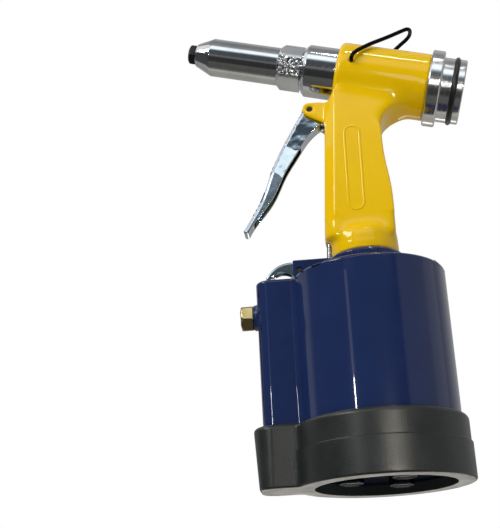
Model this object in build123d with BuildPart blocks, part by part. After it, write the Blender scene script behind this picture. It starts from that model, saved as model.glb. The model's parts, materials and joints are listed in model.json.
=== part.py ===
"""Air-over-oil blind rivet gun: barrel, cast grip, air cylinder, valve and pulling gear."""

import os
from math import cos, pi, radians, sin, sqrt, tan

from build123d import *

# Fits, as radial or face gaps in millimetres
running = 0.05
seat = 0.03
clear = 0.3
lap = 1.0

# The stack from the floor up: cylinder, collar, boss, grip and barrel.
# Z is the cylinder's axis, and the nose points to -X
cylinder_foot = 6.0
cylinder_length = 118.3
collar_height = 13.2
boss_height = 15.5
grip_sink = 5.5
barrel_rise = 117.5
barrel_rake = 15.0
rod_rake = 4.0
cylinder_top = cylinder_foot + cylinder_length
collar_top = cylinder_top + collar_height
boss_top = collar_top + boss_height
grip_foot = boss_top - grip_sink
barrel_height = grip_foot + barrel_rise

# Oil column: the ram, its gland and the casting's spigot in the cylinder's neck
ram_r = 7.0
oil_gap = 0.6
gland_wall = 5.0
gland_length = 15.0
gland_hex_height = 4.0
ram_seal_length = 7.0
ram_backup_length = 3.0
ram_lead = 17.0
ram_tip = 2.0
spigot_wall = 5.5
spigot_drop = 6.0
cylinder_roof = 10.3
boss_shoulder = 3.2
boss_round = 4.0
collar_wall = 6.1
collar_round = 2.0
oil_bore_r = ram_r + oil_gap
gland_r = ram_r + gland_wall
spigot_r = gland_r + spigot_wall
boss_r = spigot_r + boss_shoulder
collar_r = spigot_r + collar_wall
roof_low = cylinder_top - cylinder_roof
spigot_foot = roof_low - spigot_drop
gland_step = spigot_foot + gland_length
ram_seal_top = gland_step + ram_seal_length
gland_top = ram_seal_top + ram_backup_length
ram_top = gland_top + ram_lead

# Pulling gear in the head; places along the barrel are measured rearward from the cylinder's axis
pull_bore_r = 14.0
pull_rod_r = 7.0
pull_length = 12.0
pull_stroke = 16.0
port_margin = 0.4
pull_land = 2.6
pull_seal_depth = 2.9
pull_seal_width = 3.5
backup_width = 1.6
mandrel_r = 3.6
tube_r = 5.0
tube_wall = 1.0
tube_gap = 0.25
tube_lap = 10.0
tube_reserve = 6.0
return_spring_r = 11.2
return_spring_wire = 2.6
return_spring_turns = 5
pull_front = oil_bore_r + port_margin
pull_rear = pull_front + pull_length
tube_front = pull_rear - tube_lap

# Rear cap
cap_gap = 5.0
cap_plug_length = 10.2
cap_plug_wall = 1.9
cap_hollow_lip = 0.5
cap_flange_step = 3.0
cap_flange_width = 8.3
cap_flange_edge = 0.8
cap_spigot_step = 0.8
cap_spigot_length = 14.4
cap_end_edge = 0.6
cap_wall = 10.0
cap_ring_back = 6.1
cap_ring_wire = 1.55
cap_ring_depth = 2.0
cap_seal_lead = 3.0
cap_seal_width = 3.0
cap_seal_depth = 2.0

# Cast head and grip
head_wall = 7.5
head_lead = 8.0
head_edge = 2.2
grip_half_width = 15.5
grip_front = 24.2
grip_back = 19.4
grip_waist = 16.3
grip_waist_drop = 54.0
grip_straight = 20.5
grip_web_r = 15.0
grip_web_lap = 0.6
grip_front_bevel = 6.0
grip_back_round = 11.0
panel_width = 10.5
panel_foot = 15.5
panel_head = 43.0
panel_shift = 1.9
panel_lean = 1.0
panel_rim = 0.9
panel_height = 0.5
head_r = pull_bore_r + head_wall
head_front = -head_lead
cap_face = pull_rear + pull_stroke + cap_gap
head_rear = cap_face + cap_plug_length
cap_step = head_rear + cap_flange_width
cap_end = cap_step + cap_spigot_length
cap_floor = cap_end - cap_wall
cap_ring_at = cap_end - cap_ring_back
cap_plug_r = pull_bore_r + cap_plug_wall
cap_hollow_r = pull_bore_r - cap_hollow_lip
cap_flange_r = head_r + cap_flange_step
cap_spigot_r = head_r - cap_spigot_step

# Nose: rod bush and seal, sleeve, housing and nosepiece, from the cylinder's axis to the front
sleeve_end = 1.0
rod_seal_length = 5.0
bush_length = 8.0
bush_wall = 2.0
housing_tail = 1.0
sleeve_spigot_wall = 1.5
housing_bore_gap = 2.6
housing_wall = 2.8
housing_thread = 3.6
sleeve_wall = 3.8
sleeve_length = 22.0
sleeve_bevel = 2.2
hex_neck = 1.2
hex_neck_depth = 0.9
hex_length = 15.6
hex_rise = 0.6
nose_length = 45.4
cone_length = 11.4
cone_front_r = 7.5
cone_edge_cut = 0.8
bore_margin = 0.2
nosepiece_length = 5.0
nosepiece_flats = 12.4
nosepiece_cut = 1.2
nosepiece_cut_length = 1.7
nosepiece_thread_r = 4.4
nosepiece_tail_r = 3.2
nosepiece_bore_r = 1.6
sleeve_rear = -sleeve_end
bush_rear = sleeve_rear - rod_seal_length
bush_front = bush_rear - bush_length
housing_rear = bush_front - housing_tail
bush_r = pull_rod_r + bush_wall
sleeve_spigot_r = pull_bore_r + sleeve_spigot_wall
housing_bore_r = pull_rod_r + housing_bore_gap
housing_r = housing_bore_r + housing_wall
housing_thread_r = housing_bore_r + housing_thread
sleeve_r = housing_thread_r + sleeve_wall
sleeve_front = head_front - sleeve_length
hex_rear = sleeve_front - hex_neck
hex_front = hex_rear - hex_length
hex_flats = 2 * (housing_r + hex_rise)
cone_edge = hex_front - nose_length
cone_front = cone_edge - cone_length
nosepiece_front = cone_front - nosepiece_length
housing_bore_front = cone_edge + bore_margin

# Jaw set inside the nose
case_inset = 3.0
case_gap = 0.1
case_edge = 1.0
case_thread = 8.0
case_hollow_gap = 0.3
jaw_cone = 10.0
jaw_mouth_gap = 0.5
jaw_inset = 4.0
jaw_length = 15.0
jaw_grip_r = 1.1
jaw_count = 3
jaw_sector = 92.0
jaw_travel = 3.0
pusher_gap = 0.15
pusher_flange = 3.0
pusher_stem_r = 3.3
pusher_tail = 4.0
pusher_bore_r = 2.0
jaw_spring_room = 16.0
jaw_spring_r = 5.2
jaw_spring_wire = 1.2
jaw_spring_turns = 4
lock_nut_width = 4.6
lock_nut_step = 1.2
case_front = housing_bore_front + case_inset
jaw_front = case_front + jaw_inset
jaw_rear = jaw_front + jaw_length
pull_rod_front = jaw_rear + jaw_spring_room
case_rear = pull_rod_front + case_thread
pusher_rear = pull_rod_front + pusher_tail
case_r = housing_bore_r - case_gap
case_hollow_r = pull_rod_r + case_hollow_gap
jaw_mouth_r = nosepiece_tail_r + jaw_mouth_gap

# Air cylinder with its valve lobe
cylinder_r = 46.3
cylinder_wall = 4.0
cylinder_round = 2.0
lobe_reach = 21.4
lobe_half_width = 12.5
lobe_corner = 8.0
lobe_root = 4.0
cylinder_bore_r = cylinder_r - cylinder_wall
lobe_front = -cylinder_r - lobe_reach

# Valve and inlet in the lobe
valve_inset = 8.7
valve_bore_r = 5.6
valve_mouth_step = 0.7
valve_mouth_depth = 5.8
valve_depth = 68.3
valve_stem_r = 2.6
valve_stem_proud = 1.6
valve_land_gap = 0.1
valve_land = 2.0
valve_waist_depth = 2.2
valve_bush_length = 9.0
valve_chamber = 6.0
valve_spool_length = 22.0
valve_spring_r = 3.9
valve_spring_wire = 1.2
valve_spring_turns = 4
duct_r = 2.6
inlet_drop = 20.1
inlet_thread_r = 6.0
inlet_boss_wall = 1.8
inlet_boss_reach = 2.4
inlet_flare = 1.6
inlet_hex_step = 1.3
inlet_hex_length = 7.8
inlet_hex_cut = 0.5
inlet_hex_cut_length = 1.3
inlet_socket_r = 4.3
inlet_socket_depth = 9.5
inlet_bore_r = 3.2
valve_x = lobe_front + valve_inset
valve_mouth_r = valve_bore_r + valve_mouth_step
valve_mouth_floor = cylinder_top - valve_mouth_depth
valve_floor = cylinder_top - valve_depth
valve_stem_top = cylinder_top + valve_stem_proud
valve_land_r = valve_bore_r - valve_land_gap
valve_waist_r = valve_land_r - valve_waist_depth
inlet_z = cylinder_top - inlet_drop
inlet_boss_r = inlet_thread_r + inlet_boss_wall
inlet_root_r = inlet_boss_r + inlet_flare
inlet_boss_front = lobe_front - inlet_boss_reach
inlet_front = inlet_boss_front - inlet_hex_length
inlet_hex_flats = 2 * (inlet_thread_r + inlet_hex_step)

# Trigger lug, trigger and trigger rod
pivot_reach = 3.2
pivot_drop = 25.6
lug_r = 4.9
lug_wall = 3.0
lug_gap = 0.4
lug_rise = 3.0
lug_web = 12.0
lug_root = 15.2
lug_heel = 2.4
lug_swing = 3.0
trigger_pin_r = 2.0
pin_inset = 1.0
trigger_half_width = 5.2
trigger_wall = 1.6
trigger_web = 2.0
trigger_hub = 0.6
trigger_reach = 46.3
trigger_drop = 81.4
trigger_front_shape = ((0.291, 0.163), (0.594, 0.504), (0.739, 0.722), (0.910, 0.890))
trigger_tip_shape = ((1.0, 0.973), (0.966, 1.0), (0.923, 0.983))
trigger_back_shape = (
    (0.831, 0.904), (0.682, 0.804), (0.556, 0.702), (0.385, 0.506), (0.218, 0.359), (0.038, 0.212),
)
trigger_channel_shape = ((0.868, 0.932), (0.496, 0.983), (0.124, 0.456), (0.177, 0.224))
arm_drop = 10.0
arm_root = 6.9
arm_cam_r = 1.8
arm_heel = 0.6
arm_slot = 4.4
arm_step = 1.0
rod_inset = 3.2
rod_r = 2.0
rod_gap = 0.4
rod_head_r = 4.2
rod_head_height = 4.0
rod_nut_flats = 6.6
rod_nut_height = 3.2
rod_tail = 4.4
window_gap = 0.5
window_back = 15.0
window_foot = 1.6
window_room = 5.2
pivot_x = -grip_front - pivot_reach
pivot_z = barrel_height - pivot_drop
lug_inner = trigger_half_width + lug_gap
lug_outer = lug_inner + lug_wall
lug_root_x = -grip_front + lug_root
rod_x = -grip_front + rod_inset
arm_low = pivot_z - arm_drop
cam_z = arm_low + arm_cam_r
window_half_width = trigger_half_width + window_gap

# Rocker over the valve, on its pin in the bracket
rocker_reach = 18.0
rocker_pin_rise = 6.3
rocker_pin_r = 1.75
rocker_half_width = 3.8
rocker_wall = 1.5
rocker_crown = 1.7
rocker_crown_lead = 5.0
rocker_proud = 0.5
rocker_hub_r = 3.5
rocker_arch_lead = 10.2
rocker_arch_rise = 0.5
rocker_crook_lead = 4.6
rocker_crook_drop = 1.4
rocker_neck = 3.4
rocker_neck_rise = 0.6
rocker_back = 4.0
rocker_foot_r = 2.0
rocker_foot_shift = 0.5
rocker_knuckle_r = 2.0
rocker_knuckle_rise = 8.1
rocker_fork_gap = 0.8
bracket_gap = 0.4
bracket_wall = 3.8
bracket_lead = 3.5
bracket_drop = 0.6
notch_floor = 0.6
rocker_pin_x = valve_x + rocker_reach
rocker_pin_z = cylinder_top + rocker_pin_rise
rocker_knuckle_z = cylinder_top + rocker_knuckle_rise
bracket_inner = rocker_half_width + bracket_gap
bracket_outer = bracket_inner + bracket_wall
bracket_front = rocker_pin_x - bracket_lead
bracket_top = collar_top - bracket_drop
notch_back = -spigot_r + clear

# Cylinder end: cap, screws, bumper, and the air piston above them
end_cap_inset = 0.8
end_cap_thick = 8.0
end_cap_seal_width = 2.6
end_cap_seal_depth = 2.2
screw_circle = 19.5
screw_count = 3
screw_flats = 13.0
screw_head = 5.3
screw_head_cut = 0.8
screw_shank_r = 4.0
screw_end_gap = 0.4
bumper_r = 30.0
bumper_thick = 3.6
piston_gap = 1.6
piston_thick = 20.0
piston_seal_width = 5.0
piston_seal_depth = 3.5
piston_rim = 6.0
piston_slope = 6.0
piston_pocket_r = 13.0
piston_pocket = 6.0
piston_hub = 9.0
ram_shoulder = 2.0
washer_thick = 1.6
washer_r = 10.5
ram_nut_flats = 17.0
end_cap_low = cylinder_foot + end_cap_inset
end_cap_top = end_cap_low + end_cap_thick
piston_low = end_cap_top + bumper_thick + piston_gap
piston_top = piston_low + piston_thick
hub_low = piston_low + piston_pocket
hub_top = hub_low + piston_hub
ram_shoulder_r = ram_r - ram_shoulder

# Rubber boot
boot_wall = 4.6
boot_step = 0.9
boot_step_z = 20.6
boot_top = 36.0
boot_lip = 1.9
boot_gap = 0.2
boot_corner_growth = 3.0
boot_round = 3.2
boot_foot_round = 1.2

# Wire hook
hook_wire_r = 1.3
hook_at = 1.4
hook_depth = 4.0
hook_hole_depth = 5.5
hook_side_gap = 2.9
hook_knee_at = 3.4
hook_knee_h = 7.5
hook_apex_at = 35.5
hook_apex_h = 40.4
hook_foot_bend = 2.1
hook_bend = 4.0
hook_apex_bend = 3.4
hook_side = head_r + hook_side_gap

# Oil filling screw on the far side of the grip
fill_drop = 37.0
fill_head_r = 5.0
fill_head = 3.5
fill_head_cut = 1.3
fill_shank_r = 3.0
fill_shank_gap = 1.0
fill_socket_flats = 4.0
fill_socket_depth = 2.4
fill_washer = 1.2
fill_z = barrel_height - fill_drop

# Planes and axes shared by the pieces
rake = radians(barrel_rake)
rod_lean = radians(rod_rake)
barrel = Plane(origin=(0, 0, barrel_height), x_dir=(cos(rake), 0, -sin(rake)), z_dir=(0, -1, 0))
upright = Plane(origin=(0, 0, 0), x_dir=(0, 0, 1), z_dir=(0, -1, 0))
valve_axis = Plane(origin=(valve_x, 0, 0), x_dir=(0, 0, 1), z_dir=(0, -1, 0))
inlet_axis = Plane(origin=(0, 0, inlet_z), x_dir=(1, 0, 0), z_dir=(0, -1, 0))
rod_axis = Plane(origin=(rod_x, 0, grip_foot), x_dir=(sin(rod_lean), 0, cos(rod_lean)), z_dir=(0, -1, 0))


def rod_x_at(z):
    """X of the trigger rod's axis at a height."""
    return rod_x + (z - grip_foot) * tan(rod_lean)


def rod_along(z):
    """Distance along the trigger rod from the grip's foot to a height."""
    return (z - grip_foot) / cos(rod_lean)


def turn(profile, plane, mode=Mode.ADD):
    """Revolve a half section of (along, radius) points about the plane's X axis."""
    with BuildSketch(plane) as section:
        with BuildLine():
            Polyline(*profile, close=True)
        make_face()
    revolve(section.sketch, axis=Axis(plane.origin, plane.x_dir), mode=mode)


def ring(plane, start, end, inner_r, outer_r, mode=Mode.ADD):
    """A plain ring or, with no inner radius, a plain round bar."""
    turn([(start, inner_r), (start, outer_r), (end, outer_r), (end, inner_r)], plane, mode)


def across(plane, along):
    """The plane that cuts an axis square, a distance along it, looking along the axis."""
    origin = plane.origin + plane.x_dir * along
    return Plane(origin=origin, x_dir=plane.z_dir, z_dir=plane.x_dir)


def hexagon(plane, start, end, flats, mode=Mode.ADD):
    """A hexagonal bar along the plane's X axis, with two flats square to the plane."""
    with BuildSketch(across(plane, start)) as section:
        RegularPolygon(radius=flats / 2, side_count=6, major_radius=False, rotation=30)
    extrude(section.sketch, amount=end - start, mode=mode)


def trim_hexagon(plane, start, flats, depth, length):
    """Cut the corners of a hexagonal bar's front end to a cone."""
    corner_r = flats / sqrt(3) + seat
    turn(
        [(start, flats / 2 - depth), (start + length, corner_r), (start + length, corner_r + lap),
         (start - lap, corner_r + lap), (start - lap, flats / 2 - depth)],
        plane,
        Mode.SUBTRACT,
    )


def cross_pin(x, z, radius, half_length, mode=Mode.ADD):
    """A round pin or hole through the tool from side to side."""
    with BuildSketch(Plane.XZ) as section:
        with Locations((x, z)):
            Circle(radius)
    extrude(section.sketch, amount=half_length, both=True, mode=mode)


def side_plate(points, inner, outer, mode=Mode.ADD):
    """A plate of an XZ outline on each side of the tool, from one Y to another."""
    for side in (-1, 1):
        with BuildSketch(Plane.XZ.offset(side * (inner + outer) / 2)) as section:
            Polygon(*points, align=None)
        extrude(section.sketch, amount=(outer - inner) / 2, both=True, mode=mode)


def slot_cut(points, half_width):
    """Cut an XZ outline through the middle of a piece."""
    with BuildSketch(Plane.XZ) as section:
        Polygon(*points, align=None)
    extrude(section.sketch, amount=half_width, both=True, mode=Mode.SUBTRACT)


def lobed_outline(level, round_r, front, half_width, corner, root):
    """A disc with a lobe towards -X, rounded at the lobe's corners and roots."""
    with BuildSketch(Plane.XY.offset(level)) as outline:
        Circle(round_r)
        with BuildLine():
            FilletPolyline(
                (0, -half_width), (front, -half_width), (front, half_width), (0, half_width), radius=corner,
            )
            Line((0, half_width), (0, -half_width))
        make_face()
        on_flanks = outline.vertices().filter_by(lambda vertex: abs(abs(vertex.Y) - half_width) < 0.001)
        fillet(on_flanks.sort_by(Axis.X)[-2:], radius=root)
    return outline.sketch


def coil(plane, start, end, radius, wire, turns):
    """A round wire wound on a helix; every half turn is a pair of tangent arcs."""
    rise = (end - start - wire) / turns
    side = plane.z_dir

    def place(half):
        sign = 1 if half % 2 == 0 else -1
        along = start + wire / 2 + rise * half / 2
        return plane.origin + plane.x_dir * along + plane.y_dir * (sign * radius)

    def heading(half):
        sign = 1 if half % 2 == 0 else -1
        turned = side * (sign * radius * 2 * pi) + plane.x_dir * rise
        return turned.normalized()

    with BuildLine() as path:
        for half in range(2 * turns):
            first, last = place(half), place(half + 1)
            leave, arrive = heading(half), heading(half + 1)
            chord = last - first
            spread = 2 * (1 - leave.dot(arrive))
            lean = chord.dot(leave + arrive)
            reach = (sqrt(lean * lean + spread * chord.dot(chord)) - lean) / spread
            middle = (first + last + (leave - arrive) * reach) / 2
            passing = (last - arrive * reach) - (first + leave * reach)
            TangentArc(first, middle, tangent=leave)
            TangentArc(middle, last, tangent=passing.normalized())
    with BuildSketch(Plane(origin=path.line @ 0, z_dir=path.line % 0)) as section:
        Circle(wire / 2)
    sweep(section.sketch, path=path.line)
    print(f"coil: wire {wire:g}, least gap between turns {rise - wire:.2f}")


# Body casting: grip, boss, head and trigger lug in one casting
with BuildPart() as body_casting:
    web_x = grip_waist + grip_web_r
    web_z = barrel_height - web_x * tan(rake) - (head_r + grip_web_r - grip_web_lap) / cos(rake)
    web_top = (web_x + grip_web_r * sin(rake), web_z + grip_web_r * cos(rake))
    with BuildSketch(Plane.XZ):
        with BuildLine():
            straight_z = grip_foot + grip_straight
            waist_z = barrel_height - grip_waist_drop
            swell_end = ((grip_back + grip_waist) / 2, (straight_z + waist_z) / 2)
            Line((grip_back, grip_foot), (grip_back, straight_z))
            swell = TangentArc((grip_back, straight_z), swell_end, tangent=(0, 1))
            TangentArc(swell_end, (grip_waist, waist_z), tangent=swell % 1)
            Line((grip_waist, waist_z), (grip_waist, web_z))
            TangentArc((grip_waist, web_z), web_top, tangent=(0, 1))
            front_top = (-grip_front + (pivot_z - grip_foot) * tan(rod_lean), pivot_z)
            Polyline(
                (grip_back, grip_foot),
                (-grip_front, grip_foot),
                front_top,
                (0, barrel_height),
                (web_top[0], barrel_height - web_top[0] * tan(rake)),
                web_top,
            )
        make_face()
    extrude(amount=grip_half_width, both=True)
    uprights = body_casting.edges().filter_by(Axis.Z)
    fillet(uprights.sort_by(Axis.X)[-2:], radius=grip_back_round)
    front_edges = body_casting.edges().filter_by(Axis((0, 0, 0), rod_axis.x_dir))
    chamfer(front_edges, length=grip_front_bevel)
    with BuildSketch(upright):
        with BuildLine():
            Polyline((boss_top, 0), (spigot_foot, 0), (spigot_foot, spigot_r), (collar_top, spigot_r),
                     (collar_top, boss_r), (boss_top - boss_round, boss_r))
            RadiusArc((boss_top - boss_round, boss_r), (boss_top, boss_r - boss_round), boss_round)
            Line((boss_top, boss_r - boss_round), (boss_top, 0))
        make_face()
    revolve(axis=Axis.Z)
    cross_pin(pivot_x, pivot_z, lug_r, lug_outer)
    side_plate(
        [(pivot_x, pivot_z + lug_r), (lug_root_x, pivot_z + lug_r + lug_rise),
         (lug_root_x, pivot_z - lug_r - lug_web),
         (pivot_x - lug_heel, pivot_z - sqrt(lug_r * lug_r - lug_heel * lug_heel))],
        lug_inner, lug_outer,
    )
    turn(
        [(head_front, 0), (head_front, head_r - head_edge), (head_front + head_edge, head_r),
         (head_rear, head_r), (head_rear, 0)],
        barrel,
    )
    panel_low = grip_foot + panel_foot
    panel_high = barrel_height - panel_head
    with BuildSketch(Plane.XZ.offset(grip_half_width)):
        with Locations(((rod_x + grip_back) / 2 - panel_shift, (panel_low + panel_high) / 2)):
            SlotOverall(panel_high - panel_low, panel_width, rotation=90 + panel_lean)
            SlotOverall(panel_high - panel_low - 2 * panel_rim, panel_width - 2 * panel_rim,
                        rotation=90 + panel_lean, mode=Mode.SUBTRACT)
    extrude(amount=panel_height)

    # Bores: pull cylinder, front and rear threads, oil column, ram gland
    ring(barrel, sleeve_rear, head_rear, 0, pull_bore_r, Mode.SUBTRACT)
    ring(barrel, head_front, sleeve_rear, 0, sleeve_spigot_r + seat, Mode.SUBTRACT)
    ring(barrel, cap_face - clear, head_rear, 0, cap_plug_r + seat, Mode.SUBTRACT)
    ring(upright, spigot_foot, barrel_height - pull_bore_r, 0, oil_bore_r, Mode.SUBTRACT)
    ring(upright, spigot_foot, gland_top, 0, gland_r + seat, Mode.SUBTRACT)

    # Trigger rod's bore, the trigger arm's window, pin hole, hook holes and filling hole
    window_low = arm_low - window_foot
    window_high = cam_z + arm_cam_r + rod_head_height + window_room
    window_front_x = pivot_x + lug_r
    ring(rod_axis, rod_along(spigot_foot), rod_along(window_high), 0, rod_r + rod_gap, Mode.SUBTRACT)
    slot_cut(
        [(window_front_x, window_low), (-grip_front + window_back, window_low),
         (-grip_front + window_back, window_high), (window_front_x, window_high)],
        window_half_width,
    )
    cross_pin(pivot_x, pivot_z, trigger_pin_r + seat, lug_outer, Mode.SUBTRACT)
    cross_pin(pivot_x, pivot_z, lug_r + lug_swing, lug_inner, Mode.SUBTRACT)
    for side in (-1, 1):
        hole_face = Plane(origin=barrel.origin + barrel.x_dir * hook_at, z_dir=(0, side, 0))
        with BuildSketch(hole_face.offset(head_r - hook_hole_depth)):
            Circle(hook_wire_r + running)
        extrude(amount=hook_hole_depth + lap, mode=Mode.SUBTRACT)
    with BuildSketch(Plane(origin=(0, grip_half_width, fill_z), z_dir=(0, -1, 0))):
        Circle(fill_shank_r + seat)
    extrude(amount=grip_half_width, mode=Mode.SUBTRACT)
body_casting.part.label = "body_casting"

# Nose sleeve, screwed into the head, with the rod's bush and seal
with BuildPart() as nose_sleeve:
    turn(
        [(sleeve_front, housing_thread_r + seat), (sleeve_front, sleeve_r - sleeve_bevel),
         (sleeve_front + sleeve_bevel, sleeve_r), (head_front, sleeve_r), (head_front, sleeve_spigot_r),
         (sleeve_rear, sleeve_spigot_r), (sleeve_rear, bush_r + seat), (bush_front, bush_r + seat),
         (bush_front, housing_bore_r), (housing_rear, housing_bore_r),
         (housing_rear, housing_thread_r + seat)],
        barrel,
    )
nose_sleeve.part.label = "nose_sleeve"

with BuildPart() as rod_bush:
    ring(barrel, bush_front, bush_rear, pull_rod_r + running, bush_r)
rod_bush.part.label = "rod_bush"

with BuildPart() as rod_seal:
    ring(barrel, bush_rear, sleeve_rear, pull_rod_r + seat, bush_r)
rod_seal.part.label = "rod_seal"

# Nose housing: cone, round barrel, hexagon for the spanner and the thread into the sleeve
with BuildPart() as nose_housing:
    hexagon(barrel, hex_front, hex_rear, hex_flats)
    trim_hexagon(barrel, hex_front, hex_flats, hex_rise, hex_flats / sqrt(3) - housing_r)
    turn(
        [(cone_front, 0), (cone_front, cone_front_r - cone_edge_cut),
         (cone_front + cone_edge_cut, cone_front_r), (cone_edge, housing_r), (hex_front, housing_r),
         (hex_front, 0)],
        barrel,
    )
    ring(barrel, hex_rear, sleeve_front, 0, housing_thread_r - hex_neck_depth)
    ring(barrel, sleeve_front, housing_rear, 0, housing_thread_r)
    ring(barrel, housing_bore_front, housing_rear, 0, housing_bore_r, Mode.SUBTRACT)
    ring(barrel, cone_front, housing_bore_front, 0, nosepiece_thread_r + seat, Mode.SUBTRACT)
nose_housing.part.label = "nose_housing"

# Nosepiece, whose tail holds the jaws open while the pull rod is home
with BuildPart() as nosepiece:
    tail_end = jaw_front - clear
    hexagon(barrel, nosepiece_front, cone_front, nosepiece_flats)
    trim_hexagon(barrel, nosepiece_front, nosepiece_flats, nosepiece_cut, nosepiece_cut_length)
    ring(barrel, cone_front, housing_bore_front, 0, nosepiece_thread_r)
    ring(barrel, housing_bore_front, tail_end, 0, nosepiece_tail_r)
    ring(barrel, nosepiece_front, tail_end, 0, nosepiece_bore_r, Mode.SUBTRACT)
nosepiece.part.label = "nosepiece"

# Pull piston with its hollow rod
seal_start = pull_front + pull_land
seal_end = seal_start + pull_seal_width
backup_end = seal_end + backup_width
pull_groove_r = pull_bore_r - pull_seal_depth
pull_piston_r = pull_bore_r - running
tube_socket_r = tube_r + tube_gap
tube_socket_front = tube_front - pull_stroke - tube_reserve
with BuildPart() as pull_piston:
    turn(
        [(pull_rod_front, mandrel_r), (pull_rod_front, pull_rod_r), (pull_front, pull_rod_r),
         (pull_front, pull_piston_r), (seal_start, pull_piston_r), (seal_start, pull_groove_r),
         (backup_end, pull_groove_r), (backup_end, pull_piston_r), (pull_rear, pull_piston_r),
         (pull_rear, tube_socket_r), (tube_socket_front, tube_socket_r), (tube_socket_front, mandrel_r)],
        barrel,
    )
pull_piston.part.label = "pull_piston"

with BuildPart() as pull_piston_seal:
    ring(barrel, seal_start, seal_end, pull_groove_r, pull_bore_r - seat)
pull_piston_seal.part.label = "pull_piston_seal"

with BuildPart() as pull_backup_ring:
    ring(barrel, seal_end, backup_end, pull_groove_r, pull_bore_r - seat)
pull_backup_ring.part.label = "pull_backup_ring"

# Rear cap, its seals, the tube for spent mandrels and the return spring
cap_seal_start = cap_face + cap_seal_lead
cap_seal_end = cap_seal_start + cap_seal_width
cap_seal_r = cap_plug_r - cap_seal_depth
groove_front = cap_ring_at - cap_ring_wire
groove_rear = cap_ring_at + cap_ring_wire
groove_r = cap_spigot_r - cap_ring_depth
with BuildPart() as rear_cap:
    turn(
        [(cap_face, cap_hollow_r), (cap_face, cap_plug_r), (cap_seal_start, cap_plug_r),
         (cap_seal_start, cap_seal_r), (cap_seal_end, cap_seal_r), (cap_seal_end, cap_plug_r),
         (head_rear, cap_plug_r), (head_rear, cap_flange_r - cap_flange_edge),
         (head_rear + cap_flange_edge, cap_flange_r), (cap_step - cap_flange_edge, cap_flange_r),
         (cap_step, cap_flange_r - cap_flange_edge), (cap_step, cap_spigot_r), (groove_front, cap_spigot_r),
         (groove_front, groove_r), (groove_rear, groove_r), (groove_rear, cap_spigot_r),
         (cap_end - cap_end_edge, cap_spigot_r), (cap_end, cap_spigot_r - cap_end_edge),
         (cap_end, tube_r + seat), (cap_floor, tube_r + seat), (cap_floor, cap_hollow_r)],
        barrel,
    )
rear_cap.part.label = "rear_cap"

with BuildPart() as rear_cap_seal:
    ring(barrel, cap_seal_start, cap_seal_end, cap_seal_r, cap_plug_r)
rear_cap_seal.part.label = "rear_cap_seal"

with BuildPart() as collector_ring:
    with BuildSketch(barrel):
        with Locations((cap_ring_at, groove_r + cap_ring_wire)):
            Circle(cap_ring_wire)
    revolve(axis=Axis(barrel.origin, barrel.x_dir))
collector_ring.part.label = "collector_ring"

with BuildPart() as mandrel_tube:
    ring(barrel, tube_front, cap_end, tube_r - tube_wall, tube_r)
mandrel_tube.part.label = "mandrel_tube"

with BuildPart() as return_spring:
    coil(barrel, pull_rear + seat, cap_floor - seat, return_spring_r, return_spring_wire, return_spring_turns)
return_spring.part.label = "return_spring"

# Jaw case with its inner cone, screwed on the pull rod and locked by a nut
cone_slope = tan(radians(jaw_cone))
cone_end = case_front + (case_hollow_r - jaw_mouth_r) / cone_slope
with BuildPart() as jaw_case:
    turn(
        [(case_front, jaw_mouth_r), (case_front, case_r - case_edge), (case_front + case_edge, case_r),
         (case_rear, case_r), (case_rear, pull_rod_r + seat), (pull_rod_front, pull_rod_r + seat),
         (pull_rod_front, case_hollow_r), (cone_end, case_hollow_r)],
        barrel,
    )
jaw_case.part.label = "jaw_case"

with BuildPart() as jaw_lock_nut:
    nut_end = case_rear + lock_nut_width
    hexagon(barrel, case_rear, nut_end, 2 * (case_r - lock_nut_step))
    ring(barrel, case_rear, nut_end, case_r, 2 * case_r, Mode.SUBTRACT)
    ring(barrel, case_rear, nut_end, 0, pull_rod_r + seat, Mode.SUBTRACT)
jaw_lock_nut.part.label = "jaw_lock_nut"


def jaw_outer_r(along):
    """Outer radius of the closed jaws, just off the case's cone."""
    return jaw_mouth_r + (along - case_front) * cone_slope - running


# Jaws: their outside fits the cone when they are closed, and they stand open in the case
jaws = []
for number in range(jaw_count):
    middle_way = radians(360 / jaw_count * number)
    edge_way = middle_way - radians(jaw_sector / 2)
    opening = barrel.y_dir * cos(middle_way) + barrel.z_dir * sin(middle_way)
    outward = barrel.y_dir * cos(edge_way) + barrel.z_dir * sin(edge_way)
    open_origin = barrel.origin + (barrel.x_dir + opening * cone_slope) * jaw_travel
    front = jaw_front - jaw_travel
    rear = jaw_rear - jaw_travel
    with BuildPart() as jaw:
        with BuildSketch(Plane(origin=open_origin, x_dir=barrel.x_dir, z_dir=barrel.x_dir.cross(outward))):
            Polygon(
                (front, jaw_grip_r), (front, jaw_outer_r(front)), (rear, jaw_outer_r(rear)),
                (rear, jaw_grip_r), align=None,
            )
        revolve(axis=Axis(open_origin, barrel.x_dir), revolution_arc=jaw_sector)
    jaw.part.label = f"jaw_{number + 1}"
    jaws.append(jaw)

# Jaw pusher and its spring, seated on the end of the pull rod
pusher_front = jaw_rear + pusher_gap
pusher_step = pusher_front + pusher_flange
pusher_r = jaw_outer_r(pusher_front - jaw_travel) - clear
with BuildPart() as jaw_pusher:
    turn(
        [(pusher_front, pusher_bore_r), (pusher_front, pusher_r), (pusher_step, pusher_r),
         (pusher_step, pusher_stem_r), (pusher_rear, pusher_stem_r), (pusher_rear, pusher_bore_r)],
        barrel,
    )
jaw_pusher.part.label = "jaw_pusher"

with BuildPart() as jaw_spring:
    coil(barrel, pusher_step + seat, pull_rod_front - seat, jaw_spring_r, jaw_spring_wire, jaw_spring_turns)
jaw_spring.part.label = "jaw_spring"

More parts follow.
